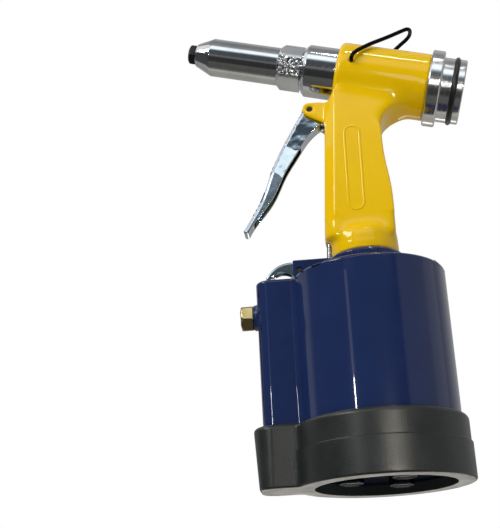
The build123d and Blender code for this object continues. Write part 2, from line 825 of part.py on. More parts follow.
# Ram gland in the casting's spigot, with the ram's seal and its backing ring above it
with BuildPart() as ram_gland:
    hexagon(upright, spigot_foot - gland_hex_height, spigot_foot, 2 * gland_r)
    ring(upright, spigot_foot, gland_step, 0, gland_r)
    ring(upright, spigot_foot - gland_hex_height, gland_step, 0, ram_r + running, Mode.SUBTRACT)
ram_gland.part.label = "ram_gland"

with BuildPart() as ram_seal:
    ring(upright, gland_step, ram_seal_top, ram_r + seat, gland_r)
ram_seal.part.label = "ram_seal"

with BuildPart() as ram_backup_ring:
    ring(upright, ram_seal_top, gland_top, ram_r + running, gland_r)
ram_backup_ring.part.label = "ram_backup_ring"

# Oil filling screw and its washer
fill_face = Plane(origin=(0, grip_half_width, fill_z), x_dir=(0, 1, 0), z_dir=(1, 0, 0))
fill_shank_end = oil_bore_r + fill_shank_gap - grip_half_width
fill_top = fill_washer + fill_head
with BuildPart() as fill_washer_ring:
    ring(fill_face, 0, fill_washer, fill_shank_r + seat, fill_head_r)
fill_washer_ring.part.label = "fill_washer"

with BuildPart() as fill_screw:
    turn(
        [(fill_shank_end, 0), (fill_shank_end, fill_shank_r), (fill_washer, fill_shank_r),
         (fill_washer, fill_head_r), (fill_top - fill_head_cut, fill_head_r),
         (fill_top, fill_head_r - fill_head_cut), (fill_top, 0)],
        fill_face,
    )
    hexagon(fill_face, fill_top - fill_socket_depth, fill_top, fill_socket_flats, Mode.SUBTRACT)
fill_screw.part.label = "fill_screw"

# Air cylinder: round barrel, valve lobe, collar, rocker bracket and inlet boss in one casting
with BuildPart() as air_cylinder:
    outline = lobed_outline(cylinder_foot, cylinder_r, lobe_front, lobe_half_width, lobe_corner, lobe_root)
    extrude(outline, amount=cylinder_length)
    fillet(air_cylinder.faces().sort_by(Axis.Z)[-1].edges(), radius=cylinder_round)
    turn(
        [(cylinder_top - lap, 0), (cylinder_top - lap, collar_r), (collar_top - collar_round, collar_r),
         (collar_top, collar_r - collar_round), (collar_top, 0)],
        upright,
    )
    side_plate(
        [(bracket_front, cylinder_top - lap), (bracket_front, bracket_top), (-spigot_r, bracket_top),
         (-spigot_r, cylinder_top - lap)],
        bracket_inner, bracket_outer,
    )
    turn(
        [(inlet_boss_front, 0), (inlet_boss_front, inlet_boss_r),
         (lobe_front - inlet_flare / 2, inlet_boss_r), (lobe_front + inlet_flare, inlet_root_r),
         (valve_x, inlet_root_r), (valve_x, 0)],
        inlet_axis,
    )

    # Bores: air chamber, neck, valve, duct to the chamber, inlet and rocker pin
    ring(upright, cylinder_foot, roof_low, 0, cylinder_bore_r, Mode.SUBTRACT)
    ring(upright, roof_low, collar_top, 0, spigot_r + seat, Mode.SUBTRACT)
    ring(valve_axis, valve_mouth_floor, cylinder_top, 0, valve_mouth_r, Mode.SUBTRACT)
    ring(valve_axis, valve_floor, valve_mouth_floor, 0, valve_bore_r, Mode.SUBTRACT)
    duct_z = end_cap_top + duct_r
    ring(valve_axis, duct_z, valve_floor, 0, duct_r, Mode.SUBTRACT)
    with BuildSketch(Plane(origin=(valve_x, 0, duct_z), z_dir=(1, 0, 0))):
        Circle(duct_r)
    extrude(amount=-valve_x - cylinder_bore_r + lap, mode=Mode.SUBTRACT)
    ring(inlet_axis, inlet_boss_front, valve_x, 0, inlet_thread_r + seat, Mode.SUBTRACT)
    cross_pin(rocker_pin_x, rocker_pin_z, rocker_pin_r + seat, bracket_outer, Mode.SUBTRACT)

    # Notch in the collar for the trigger rod and its nut
    slot_cut(
        [(bracket_front, cylinder_top + notch_floor), (bracket_front, collar_top + lap),
         (notch_back, collar_top + lap), (notch_back, cylinder_top + notch_floor)],
        bracket_inner,
    )
air_cylinder.part.label = "air_cylinder"

# Rocker: an arched channel with a foot over the valve, a hub on the pin and a forked tail round the rod
rod_at_rocker = rod_x_at(rocker_knuckle_z)
rocker_top = bracket_top + rocker_proud
foot_x = valve_x - rocker_foot_shift
foot_z = valve_stem_top + clear + rocker_foot_r
with BuildPart() as rocker:
    outer_foot = (foot_x - rocker_foot_r, foot_z)
    inner_foot = (foot_x + rocker_foot_r, foot_z)
    crown = (rocker_pin_x - rocker_crown_lead, rocker_top)
    crook = (rocker_pin_x - rocker_crook_lead, rocker_pin_z - rocker_crook_drop)
    arch = (rocker_pin_x - rocker_arch_lead, rocker_pin_z + rocker_arch_rise)
    neck = (rocker_pin_x + rocker_neck, rocker_pin_z + rocker_neck_rise)
    tail_front = (rod_at_rocker - rocker_knuckle_r, rocker_knuckle_z)
    tail_rear = (rod_at_rocker + rocker_knuckle_r, rocker_knuckle_z)
    with BuildSketch(Plane.XZ):
        with BuildLine():
            TangentArc(crown, outer_foot, tangent=(-1, 0))
            ThreePointArc(outer_foot, (foot_x, foot_z - rocker_foot_r), inner_foot)
            ThreePointArc(inner_foot, arch, crook)
            ThreePointArc(crook, (rocker_pin_x, rocker_pin_z - rocker_hub_r), neck)
            Line(neck, tail_front)
            ThreePointArc(tail_front, (rod_at_rocker, rocker_knuckle_z - rocker_knuckle_r), tail_rear)
            Polyline(
                tail_rear, (tail_rear[0], rocker_knuckle_z + rocker_knuckle_r / 2),
                (rocker_pin_x + rocker_back, rocker_top), crown,
            )
        make_face()
    extrude(amount=rocker_half_width, both=True)
    with BuildSketch(Plane.XZ):
        with BuildLine():
            low_crown = (crown[0], crown[1] - rocker_crown)
            low_foot = (outer_foot[0] + rocker_crown, outer_foot[1])
            TangentArc(low_crown, low_foot, tangent=(-1, 0))
            Polyline(low_foot, inner_foot, (inner_foot[0], crook[1] - rocker_hub_r),
                     (crook[0], crook[1] - rocker_hub_r), crook, low_crown)
        make_face()
    extrude(amount=rocker_half_width - rocker_wall, both=True, mode=Mode.SUBTRACT)
    cross_pin(rocker_pin_x, rocker_pin_z, rocker_pin_r + running, rocker_half_width, Mode.SUBTRACT)
    fork_front = rod_at_rocker - rod_r - rocker_fork_gap
    slot_cut(
        [(fork_front, cylinder_top), (fork_front, collar_top + lap), (tail_rear[0] + lap, collar_top + lap),
         (tail_rear[0] + lap, cylinder_top)],
        rod_r + clear,
    )
rocker.part.label = "rocker"

with BuildPart() as rocker_pin:
    cross_pin(rocker_pin_x, rocker_pin_z, rocker_pin_r, bracket_outer - pin_inset)
rocker_pin.part.label = "rocker_pin"

# Trigger rod with a head over the trigger's arm and a nut under the rocker's tail
rod_head_low = cam_z + arm_cam_r + clear + seat
nut_top = rocker_knuckle_z - rocker_knuckle_r - clear
with BuildPart() as trigger_rod:
    rod_start = rod_along(nut_top - rod_tail)
    head_start = rod_along(rod_head_low)
    head_end = head_start + rod_head_height
    turn(
        [(rod_start, 0), (rod_start, rod_r), (head_start, rod_r), (head_start, rod_head_r),
         (head_end, rod_head_r), (head_end, 0)],
        rod_axis,
    )
trigger_rod.part.label = "trigger_rod"

with BuildPart() as rod_nut:
    nut_high = rod_along(nut_top)
    hexagon(rod_axis, nut_high - rod_nut_height, nut_high, rod_nut_flats)
    ring(rod_axis, nut_high - rod_nut_height, nut_high, 0, rod_r + seat, Mode.SUBTRACT)
rod_nut.part.label = "rod_nut"


def lever_points(shares):
    """Points of the trigger from shares of its reach and drop below the pivot."""
    return [(pivot_x - across_share * trigger_reach, pivot_z - down_share * trigger_drop)
            for across_share, down_share in shares]


# Trigger: a curved channel lever on its pin, with a forked arm that lifts the rod
with BuildPart() as trigger:
    arm_x = rod_x_at(cam_z)
    arm_end = arm_x + rod_r + arm_heel
    hub_r = lug_r + trigger_hub
    hub_front = (pivot_x - hub_r, pivot_z)
    hub_back = (pivot_x + hub_r, pivot_z)
    front_line = lever_points(trigger_front_shape)
    tip_front, tip_low, tip_back = lever_points(trigger_tip_shape)
    arm_start = (pivot_x + arm_root, arm_low)
    with BuildSketch(Plane.XZ):
        with BuildLine():
            Spline(hub_front, *front_line, tip_front)
            ThreePointArc(tip_front, tip_low, tip_back)
            Spline(tip_back, *lever_points(trigger_back_shape), arm_start)
            Polyline(arm_start, (arm_end, arm_low), (arm_end, cam_z), (arm_x + arm_cam_r, cam_z))
            ThreePointArc((arm_x + arm_cam_r, cam_z), (arm_x, cam_z + arm_cam_r), (arm_x - arm_cam_r, cam_z))
            Polyline((arm_x - arm_cam_r, cam_z), (hub_back[0], cam_z + arm_step), hub_back)
            ThreePointArc(hub_back, (pivot_x, pivot_z + hub_r), hub_front)
        make_face()
    extrude(amount=trigger_half_width, both=True)
    with BuildSketch(Plane.XZ):
        with BuildLine():
            channel = lever_points(trigger_channel_shape)
            inner_line = [(x + trigger_web * cos(rake), z - trigger_web * sin(rake)) for x, z in front_line]
            Spline(*inner_line, channel[0])
            Polyline(*channel, inner_line[0])
        make_face()
    extrude(amount=trigger_half_width - trigger_wall, both=True, mode=Mode.SUBTRACT)
    cross_pin(pivot_x, pivot_z, trigger_pin_r + running, trigger_half_width, Mode.SUBTRACT)
    slot_front = arm_x - rod_r - arm_slot
    slot_top = cam_z + 2 * arm_cam_r
    slot_cut(
        [(slot_front, arm_low - lap), (slot_front, slot_top), (arm_end + lap, slot_top),
         (arm_end + lap, arm_low - lap)],
        rod_r + rod_gap,
    )
trigger.part.label = "trigger"

with BuildPart() as trigger_pin:
    cross_pin(pivot_x, pivot_z, trigger_pin_r, lug_outer - pin_inset)
trigger_pin.part.label = "trigger_pin"

# Valve: guide bush, stem with its lands, seals and spring
bush_low = valve_mouth_floor - valve_bush_length
spool_top = bush_low - valve_chamber
spool_low = spool_top - valve_spool_length
with BuildPart() as valve_bush:
    ring(valve_axis, bush_low, valve_mouth_floor, valve_stem_r + running, valve_bore_r - seat)
valve_bush.part.label = "valve_bush"

seal_grooves = (spool_top - 2 * valve_land, spool_low + valve_land)
with BuildPart() as valve_stem:
    ring(valve_axis, spool_top, valve_stem_top, 0, valve_stem_r)
    ring(valve_axis, spool_low, spool_top, 0, valve_waist_r)
    for groove in seal_grooves:
        ring(valve_axis, groove - valve_land, groove, 0, valve_land_r)
        ring(valve_axis, groove + valve_land, groove + 2 * valve_land, 0, valve_land_r)
valve_stem.part.label = "valve_stem"

with BuildPart() as valve_seals:
    for groove in seal_grooves:
        ring(valve_axis, groove, groove + valve_land, valve_waist_r, valve_bore_r - seat)
valve_seals.part.label = "valve_seals"

with BuildPart() as valve_spring:
    coil(valve_axis, valve_floor + seat, spool_low - seat,
         valve_spring_r, valve_spring_wire, valve_spring_turns)
valve_spring.part.label = "valve_spring"

# Brass inlet bush with a socket for the air hose's nipple
with BuildPart() as inlet_bush:
    bush_end = valve_x - valve_bore_r - clear
    hexagon(inlet_axis, inlet_front, inlet_boss_front, inlet_hex_flats)
    trim_hexagon(inlet_axis, inlet_front, inlet_hex_flats, inlet_hex_cut, inlet_hex_cut_length)
    ring(inlet_axis, inlet_boss_front, bush_end, 0, inlet_thread_r)
    ring(inlet_axis, inlet_front, bush_end, 0, inlet_bore_r, Mode.SUBTRACT)
    ring(inlet_axis, inlet_front, inlet_front + inlet_socket_depth, 0, inlet_socket_r, Mode.SUBTRACT)
inlet_bush.part.label = "inlet_bush"

# Air piston with its seal, on the ram, held by a nut and washer
piston_r = cylinder_bore_r - running
piston_groove_r = piston_r - piston_seal_depth
groove_low = piston_low + (piston_thick - piston_seal_width) / 2
groove_high = groove_low + piston_seal_width
washer_low = hub_low - washer_thick
with BuildPart() as air_piston:
    turn(
        [(piston_low, piston_pocket_r), (piston_low, piston_r), (groove_low, piston_r),
         (groove_low, piston_groove_r), (groove_high, piston_groove_r), (groove_high, piston_r),
         (piston_top, piston_r),
         (piston_top, piston_r - piston_rim), (hub_top, piston_r - piston_rim - piston_slope),
         (hub_top, ram_shoulder_r + seat), (hub_low, ram_shoulder_r + seat), (hub_low, piston_pocket_r)],
        upright,
    )
air_piston.part.label = "air_piston"

with BuildPart() as air_piston_seal:
    ring(upright, groove_low, groove_high, piston_groove_r, cylinder_bore_r - seat)
air_piston_seal.part.label = "air_piston_seal"

with BuildPart() as ram:
    turn(
        [(piston_low, 0), (piston_low, ram_shoulder_r), (hub_top, ram_shoulder_r), (hub_top, ram_r),
         (ram_top - ram_tip, ram_r), (ram_top, ram_r - ram_tip), (ram_top, 0)],
        upright,
    )
ram.part.label = "ram"

with BuildPart() as ram_washer:
    ring(upright, washer_low, hub_low, ram_shoulder_r + seat, washer_r)
ram_washer.part.label = "ram_washer"

with BuildPart() as ram_nut:
    hexagon(upright, piston_low, washer_low, ram_nut_flats)
    ring(upright, piston_low, washer_low, 0, ram_shoulder_r + seat, Mode.SUBTRACT)
ram_nut.part.label = "ram_nut"

# End cap with its seal, the rubber bumper inside it and the screws that clamp the bumper
end_r = cylinder_bore_r - seat
end_seal_r = end_r - end_cap_seal_depth
end_seal_low = end_cap_low + (end_cap_thick - end_cap_seal_width) / 2
end_seal_high = end_seal_low + end_cap_seal_width
with BuildPart() as cylinder_end_cap:
    turn(
        [(end_cap_low, 0), (end_cap_low, end_r), (end_seal_low, end_r), (end_seal_low, end_seal_r),
         (end_seal_high, end_seal_r), (end_seal_high, end_r), (end_cap_top, end_r), (end_cap_top, 0)],
        upright,
    )
    with PolarLocations(screw_circle, screw_count, start_angle=180):
        Hole(screw_shank_r + seat)
cylinder_end_cap.part.label = "cylinder_end_cap"

with BuildPart() as end_cap_seal:
    ring(upright, end_seal_low, end_seal_high, end_seal_r, end_r)
end_cap_seal.part.label = "end_cap_seal"

with BuildPart() as piston_bumper:
    ring(upright, end_cap_top, end_cap_top + bumper_thick, 0, bumper_r)
    with PolarLocations(screw_circle, screw_count, start_angle=180):
        Hole(screw_shank_r + seat)
piston_bumper.part.label = "piston_bumper"

with BuildPart() as end_cap_screws:
    with BuildSketch(Plane.XY.offset(end_cap_low - screw_head)):
        with PolarLocations(screw_circle, screw_count, start_angle=180):
            RegularPolygon(radius=screw_flats / 2, side_count=6, major_radius=False)
    extrude(amount=screw_head)
    chamfer(end_cap_screws.faces().sort_by(Axis.Z)[:screw_count].edges(), length=screw_head_cut)
    with BuildSketch(Plane.XY.offset(end_cap_low)):
        with PolarLocations(screw_circle, screw_count, start_angle=180):
            Circle(screw_shank_r)
    extrude(amount=end_cap_thick + bumper_thick - screw_end_gap)
end_cap_screws.part.label = "end_cap_screws"

# Rubber boot: two tiers round the cylinder, one round its valve lobe, and an open underside
with BuildPart() as rubber_boot:
    for low, high, step in ((0, boot_step_z, 0), (boot_step_z, boot_top, boot_step)):
        tier = lobed_outline(low, cylinder_r + boot_wall - step, lobe_front - boot_wall,
                             lobe_half_width + boot_wall, lobe_corner + boot_corner_growth, lobe_root)
        extrude(tier, amount=high - low)
    fillet(rubber_boot.faces().sort_by(Axis.Z)[-1].edges(), radius=boot_round)
    fillet(rubber_boot.faces().sort_by(Axis.Z)[0].edges(), radius=boot_foot_round)
    hollow = lobed_outline(cylinder_foot, cylinder_r + boot_gap, lobe_front - boot_gap,
                           lobe_half_width + boot_gap, lobe_corner + boot_gap, lobe_root - boot_gap)
    extrude(hollow, amount=boot_top, mode=Mode.SUBTRACT)
    with BuildSketch():
        Circle(cylinder_bore_r - boot_lip)
    extrude(amount=cylinder_foot, mode=Mode.SUBTRACT)
rubber_boot.part.label = "rubber_boot"


def hook_point(along, height, side):
    """A point of the hook, from its place along the barrel, its height and its Y."""
    return barrel.origin + barrel.x_dir * along + barrel.y_dir * height + Vector(0, side, 0)


# Wire hook, sprung into two holes in the head's sides
with BuildPart() as hook:
    with BuildLine() as hook_line:
        FilletPolyline(
            hook_point(hook_at, 0, -head_r + hook_depth),
            hook_point(hook_at, 0, -hook_side),
            hook_point(hook_knee_at, hook_knee_h, -hook_side),
            hook_point(hook_apex_at, hook_apex_h, 0),
            hook_point(hook_knee_at, hook_knee_h, hook_side),
            hook_point(hook_at, 0, hook_side),
            hook_point(hook_at, 0, head_r - hook_depth),
            radius=(hook_foot_bend, hook_bend, hook_apex_bend, hook_bend, hook_foot_bend),
        )
    with BuildSketch(Plane(origin=hook_line.line @ 0, z_dir=hook_line.line % 0)):
        Circle(hook_wire_r)
    sweep(path=hook_line.line)
hook.part.label = "hook"

os.makedirs("parts", exist_ok=True)
for piece in [body_casting, nose_sleeve, rod_bush, rod_seal, nose_housing, nosepiece, pull_piston,
              pull_piston_seal, pull_backup_ring, rear_cap, rear_cap_seal, collector_ring, mandrel_tube,
              return_spring, jaw_case, jaw_lock_nut, *jaws, jaw_pusher, jaw_spring, ram_gland, ram_seal,
              ram_backup_ring, fill_washer_ring, fill_screw, air_cylinder, rocker, rocker_pin, trigger_rod,
              rod_nut, trigger, trigger_pin, valve_bush, valve_stem, valve_seals, valve_spring, inlet_bush,
              air_piston, air_piston_seal, ram, ram_washer, ram_nut, cylinder_end_cap, end_cap_seal,
              piston_bumper, end_cap_screws, rubber_boot, hook]:
    export_step(piece.part, f"parts/{piece.part.label}.step")
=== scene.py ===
"""Looks of an air-over-oil blind rivet gun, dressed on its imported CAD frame."""

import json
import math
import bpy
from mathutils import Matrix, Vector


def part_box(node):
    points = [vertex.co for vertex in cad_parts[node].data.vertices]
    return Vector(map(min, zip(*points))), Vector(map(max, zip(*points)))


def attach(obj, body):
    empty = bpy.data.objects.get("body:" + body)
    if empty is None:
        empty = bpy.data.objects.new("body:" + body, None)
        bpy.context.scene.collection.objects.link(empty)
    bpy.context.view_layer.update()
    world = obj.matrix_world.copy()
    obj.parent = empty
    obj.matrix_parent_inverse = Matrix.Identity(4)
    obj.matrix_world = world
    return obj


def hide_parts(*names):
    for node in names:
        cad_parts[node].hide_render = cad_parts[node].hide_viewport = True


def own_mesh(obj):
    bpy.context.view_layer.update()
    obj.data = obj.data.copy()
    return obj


bl_info = {
    "name": "Rivet gun dresser",
    "version": (1, 0, 0),
    "blender": (4, 5, 0),
    "location": "View3D > Sidebar > Rivet gun",
    "description": "Dresses the packed rivet gun with rounded pieces, finishes and a small studio",
    "category": "Object",
}

import bmesh
import bpy
from bpy.props import FloatProperty, FloatVectorProperty, IntProperty, PointerProperty
from mathutils import Matrix, Vector

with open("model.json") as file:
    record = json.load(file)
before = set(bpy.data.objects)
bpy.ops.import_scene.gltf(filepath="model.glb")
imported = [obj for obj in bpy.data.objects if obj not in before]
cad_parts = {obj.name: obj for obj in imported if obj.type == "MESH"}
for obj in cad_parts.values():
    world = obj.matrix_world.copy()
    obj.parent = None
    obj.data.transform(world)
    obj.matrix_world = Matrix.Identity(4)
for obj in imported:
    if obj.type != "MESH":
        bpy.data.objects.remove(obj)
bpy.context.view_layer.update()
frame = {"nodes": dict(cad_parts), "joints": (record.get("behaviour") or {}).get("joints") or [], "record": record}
NODES = frame["nodes"]
JOINTS = {joint["name"]: joint for joint in frame["joints"]}
BODY_OF = {node: body for body, nodes in frame["record"]["behaviour"]["bodies"].items() for node in nodes}
BACK = Vector(JOINTS["pull_piston_stroke"]["axis"])
UP = Vector((-BACK.z, 0, BACK.x))
BARREL = Vector(JOINTS["hook_swing"]["pos_m"])
RAKE = math.atan2(-BACK.z, BACK.x)
MM = 0.001
HEAD_RADIUS = 21.5 * MM
GRIP_HALF = 15.5 * MM
SPANNER_FRONT = -48.2 * MM
SPANNER_REAR = -32.6 * MM
BOOT_STEP = 20.6 * MM


def colour_prop(name, description, default):
    """A colour that the user may change, as linear red, green and blue."""
    return FloatVectorProperty(name=name, description=description, default=default, size=3, min=0, max=1,
                               subtype="COLOR")


def length_prop(name, description, default):
    """A length in metres."""
    return FloatProperty(name=name, description=description, default=default, min=0, unit="LENGTH",
                         precision=5)


def turn_prop(name, description, default):
    """A turn in degrees."""
    return FloatProperty(name=name, description=description, default=default)


def passes_prop(name, description, default):
    """A number of smoothing passes."""
    return IntProperty(name=name, description=description, default=default, min=0, max=400)


def power_prop(name, description, default):
    """A lamp's power."""
    return FloatProperty(name=name, description=description, default=default, min=0, unit="POWER")


class RivetGunFinish(bpy.types.PropertyGroup):
    """Colours of the paints, rubbers and metals."""

    casting: colour_prop("Casting paint", "Enamel of the head and grip", (0.93, 0.58, 0.0))
    casting_deep: colour_prop("Casting paint, thick", "Enamel where it lies thick", (0.84, 0.50, 0.0))
    cylinder: colour_prop("Cylinder paint", "Enamel of the air cylinder", (0.0125, 0.0258, 0.097))
    cylinder_deep: colour_prop("Cylinder paint, thick", "Enamel where it lies thick", (0.0085, 0.018, 0.072))
    rubber: colour_prop("Boot rubber", "Moulded boot", (0.0145, 0.0175, 0.0172))
    rubber_dust: colour_prop("Rubber bloom", "Dry bloom on the boot", (0.036, 0.0395, 0.038))
    seal: colour_prop("Seal rubber", "O-rings and seals", (0.008, 0.008, 0.009))
    plated: colour_prop("Plated steel", "Nose sleeve and housing", (0.70, 0.72, 0.75))
    chrome: colour_prop("Chrome", "Trigger and rocker", (0.60, 0.68, 0.76))
    blackened: colour_prop("Blackened steel", "Nosepiece, jaws and pins", (0.045, 0.048, 0.048))
    wire: colour_prop("Hook wire", "Black coated wire", (0.010, 0.010, 0.011))
    aluminium: colour_prop("Aluminium", "Turned rear cap", (0.76, 0.77, 0.78))
    bright: colour_prop("Bright steel", "Pins, rods and pistons", (0.50, 0.51, 0.53))
    zinc: colour_prop("Zinc plate", "Screws and nuts", (0.42, 0.45, 0.49))
    end_plate: colour_prop("End plate paint", "Thin paint on the plate in the boot", (0.006, 0.009, 0.026))
    brass: colour_prop("Brass", "Inlet fitting and bushes", (0.50, 0.40, 0.19))
    plastic: colour_prop("Backing rings", "White plastic rings", (0.75, 0.75, 0.72))


class RivetGunShape(bpy.types.PropertyGroup):
    """Small sizes of the rounded pieces."""

    cast_cell: length_prop("Casting mesh", "Size of the casting's mesh cells", 0.7 * MM)
    cast_rounds: passes_prop("Casting smoothing", "Passes that round the casting's corners", 7)
    blend_rounds: passes_prop("Web smoothing", "Passes that blend the head into the grip", 40)
    blend_reach: length_prop("Web reach", "How far the head's blend into the grip reaches", 11.0 * MM)
    boss_rounds: passes_prop("Boss smoothing", "Passes that blend the grip into the boss", 60)
    panel_length: length_prop("Panel length", "Bare panel on the grip's side", 59.0 * MM)
    panel_width: length_prop("Panel width", "Bare panel on the grip's side", 11.6 * MM)
    panel_bead: length_prop("Panel bead", "Radius of the half-sunk bead round the panel", 1.1 * MM)
    inlet_turn: turn_prop("Inlet turn", "How far the inlet fitting is screwed round, in degrees", -12.0)
    spanner_turn: turn_prop("Spanner turn", "How far the nose is screwed round, in degrees", 24.0)
    edge: length_prop("Machined edge", "Rounding of turned and milled edges", 0.35 * MM)
    inlet_edge: length_prop("Inlet edge", "Rounding of the inlet fitting", 0.8 * MM)
    screw_edge: length_prop("Screw edge", "Rounding of the end cap's screws", 0.6 * MM)
    nose_edge: length_prop("Nosepiece edge", "Rounding of the nosepiece", 0.6 * MM)
    lever_round: length_prop("Lever round", "Rounding along the front of the pressed levers", 2.7 * MM)
    lever_edge: length_prop("Lever edge", "Rounding of the pressed levers' other edges", 0.35 * MM)
    wire_radius: length_prop("Hook wire", "Radius of the hook's wire", 1.3 * MM)
    lobe_taper: length_prop("Lobe taper", "How much the boot's lobe draws in towards its foot", 1.1 * MM)
    rubber_edge: length_prop("Moulded step", "Rounding of the boot's step", 0.5 * MM)
    paint_edge: length_prop("Painted edge", "Rounding of the cylinder's edges", 0.6 * MM)


class RivetGunStage(bpy.types.PropertyGroup):
    """Floor, lamps and camera."""

    floor: colour_prop("Floor", "Plain pale floor", (0.93, 0.93, 0.93))
    fill: FloatProperty(name="Fill", description="Level of the soft light from all round", default=0.48,
                        min=0)
    key: power_prop("Key lamp", "Large soft lamp", 92.0)
    low: power_prop("Low lamp", "Soft lamp under the open foot", 0.4)
    tube: power_prop("Tube lamp", "Thin lamp overhead, for the head's crisp line", 0.9)
    catch: power_prop("Catch lamp", "Small lamp in front, for the turned metal", 0.2)
    side: power_prop("Side strip", "Upright strip for the grip's edges", 2.4)
    rise: power_prop("Rise strip", "Faint strip above the foot strip", 0.024)
    sky: power_prop("Sky panel", "Large panel up left, for the pressed levers' bends", 0.95)
    foot: power_prop("Foot strip", "Low strip for the cylinder's narrow light", 0.5)
    front: power_prop("Front lamp", "Small lamp for the boot's soft light", 2.3)
    under: power_prop("Under lamp", "Low lamp behind, for the boot's underside", 0.36)
    lens: FloatProperty(name="Lens", description="Focal length", default=72.0, min=1, unit="CAMERA")


def finish():
    """The finish settings."""
    return bpy.context.scene.rivet_gun_finish


def shape():
    """The shape settings."""
    return bpy.context.scene.rivet_gun_shape


def stage():
    """The stage settings."""
    return bpy.context.scene.rivet_gun_stage


def place(tree, kind, inputs=None, **settings):
    """Add a node, set it, and feed its inputs with values or with other nodes' outputs."""
    made = tree.nodes.new(kind)
    for key, value in settings.items():
        setattr(made, key, value)
    for key, value in (inputs or {}).items():
        if isinstance(value, bpy.types.NodeSocket):
            tree.links.new(value, made.inputs[key])
        else:
            made.inputs[key].default_value = value
    return made


def empty_tree(owner):
    """The node tree of a material or a world, emptied."""
    owner.use_nodes = True
    owner.node_tree.nodes.clear()
    return owner.node_tree


def new_group(name, inputs, result):
    """An empty shader node group that gives roughness, height and one more result; and its two ends."""
    group = bpy.data.node_groups.new(name, "ShaderNodeTree")
    for label, kind, default in (("Vector", "Vector", (0, 0, 0)), *inputs):
        socket = group.interface.new_socket(label, in_out="INPUT", socket_type="NodeSocket" + kind)
        socket.default_value = default
    for label, kind in (result, ("Roughness", "Float"), ("Height", "Float")):
        group.interface.new_socket(label, in_out="OUTPUT", socket_type="NodeSocket" + kind)
    return group, group.nodes.new("NodeGroupInput"), group.nodes.new("NodeGroupOutput")


def fill_group(group, leave, **results):
    """Join a group's results to its outputs."""
    for label, result in results.items():
        group.links.new(result, leave.inputs[label])


def grey(level):
    """A colour without a hue."""
    return (level, level, level)


def ramp(tree, value, stops):
    """A colour ramp with (position, colour) stops; gives its colour output."""
    made = place(tree, "ShaderNodeValToRGB", {"Fac": value})
    elements = made.color_ramp.elements
    while len(elements) < len(stops):
        elements.new(0.5)
    for element, (position, colour) in zip(elements, stops):
        element.position = position
        element.color = (*colour, 1)
    return made.outputs["Color"]


def spread(tree, value, low, high, new_low, new_high):
    """Map a value from one range to another, clamped."""
    made = place(tree, "ShaderNodeMapRange", {"Value": value, "From Min": low, "From Max": high,
                                              "To Min": new_low, "To Max": new_high})
    return made.outputs["Result"]


def maths(tree, operation, first, second=0.0):
    """One step of arithmetic."""
    return place(tree, "ShaderNodeMath", {0: first, 1: second}, operation=operation).outputs[0]


def noise(tree, vector, scale, detail=2.0, roughness=0.5):
    """Value of a noise pattern."""
    made = place(tree, "ShaderNodeTexNoise", {"Vector": vector, "Scale": scale, "Detail": detail,
                                              "Roughness": roughness})
    return made.outputs["Fac"]


def mixed(tree, factor, first, second):
    """Mix two colours."""
    return place(tree, "ShaderNodeMix", {0: factor, 6: first, 7: second}, data_type="RGBA").outputs[2]


def part_of(tree, vector, axis):
    """One coordinate of a vector."""
    return place(tree, "ShaderNodeSeparateXYZ", {0: vector}).outputs[axis]


def reach_along(tree, vector, way):
    """How far a vector reaches in a direction."""
    return place(tree, "ShaderNodeVectorMath", {0: vector, 1: way}, operation="DOT_PRODUCT").outputs["Value"]


def make_paint_film():
    """Sprayed enamel: orange peel, dust nibs, and colour that deepens where the film is thick."""
    group, entry, leave = new_group(
        "paint_film",
        [("Colour", "Color", (1, 1, 1, 1)), ("Deep Colour", "Color", (1, 1, 1, 1)),
         ("Peel Scale", "Float", 700.0), ("Nibs", "Float", 0.3)],
        ("Colour", "Color"),
    )
    where = entry.outputs["Vector"]
    cloud = noise(group, where, 45.0, 3.0, 0.55)
    peel = noise(group, where, entry.outputs["Peel Scale"], 1.5, 0.4)
    swell = noise(group, where, 130.0, 1.0, 0.4)
    nib_field = place(group, "ShaderNodeTexVoronoi", {"Vector": where, "Scale": 240.0})
    nib = spread(group, nib_field.outputs["Distance"], 0.03, 0.09, 1.0, 0.0)
    keep = spread(group, noise(group, where, 90.0, 1.0), 0.60, 0.66, 0.0, 1.0)
    nib = maths(group, "MULTIPLY", maths(group, "MULTIPLY", nib, keep), entry.outputs["Nibs"])
    shade = spread(group, cloud, 0.35, 0.75, 0.0, 0.55)
    colour = mixed(group, shade, entry.outputs["Colour"], entry.outputs["Deep Colour"])
    height = maths(group, "ADD", maths(group, "MULTIPLY", peel, 0.45), maths(group, "MULTIPLY", swell, 0.8))
    rough = spread(group, cloud, 0.3, 0.7, 0.16, 0.26)
    fill_group(group, leave, Colour=colour, Roughness=rough, Height=maths(group, "ADD", height, nib))


def make_turning_marks():
    """Rings left by a lathe tool, along the vector's X, with a few deeper lines."""
    group, entry, leave = new_group(
        "turning_marks",
        [("Pitch Scale", "Float", 3000.0), ("Smooth", "Float", 0.12), ("Coarse", "Float", 0.30)],
        ("Mask", "Float"),
    )
    along = part_of(group, entry.outputs["Vector"], "X")
    rings = []
    for scale, detail in ((entry.outputs["Pitch Scale"], 2.0), (420.0, 1.0)):
        field = place(group, "ShaderNodeTexNoise", {"W": along, "Scale": scale, "Detail": detail},
                      noise_dimensions="1D")
        rings.append(field.outputs["Fac"])
    fine, broad = rings
    smudge = noise(group, entry.outputs["Vector"], 60.0, 3.0, 0.6)
    blend = maths(group, "MULTIPLY", spread(group, broad, 0.3, 0.7, 0.0, 1.0),
                  spread(group, smudge, 0.35, 0.7, 0.3, 1.0))
    rough = spread(group, blend, 0.0, 1.0, entry.outputs["Smooth"], entry.outputs["Coarse"])
    height = maths(group, "ADD", fine, maths(group, "MULTIPLY", broad, 0.5))
    fill_group(group, leave, Roughness=rough, Height=height, Mask=smudge)


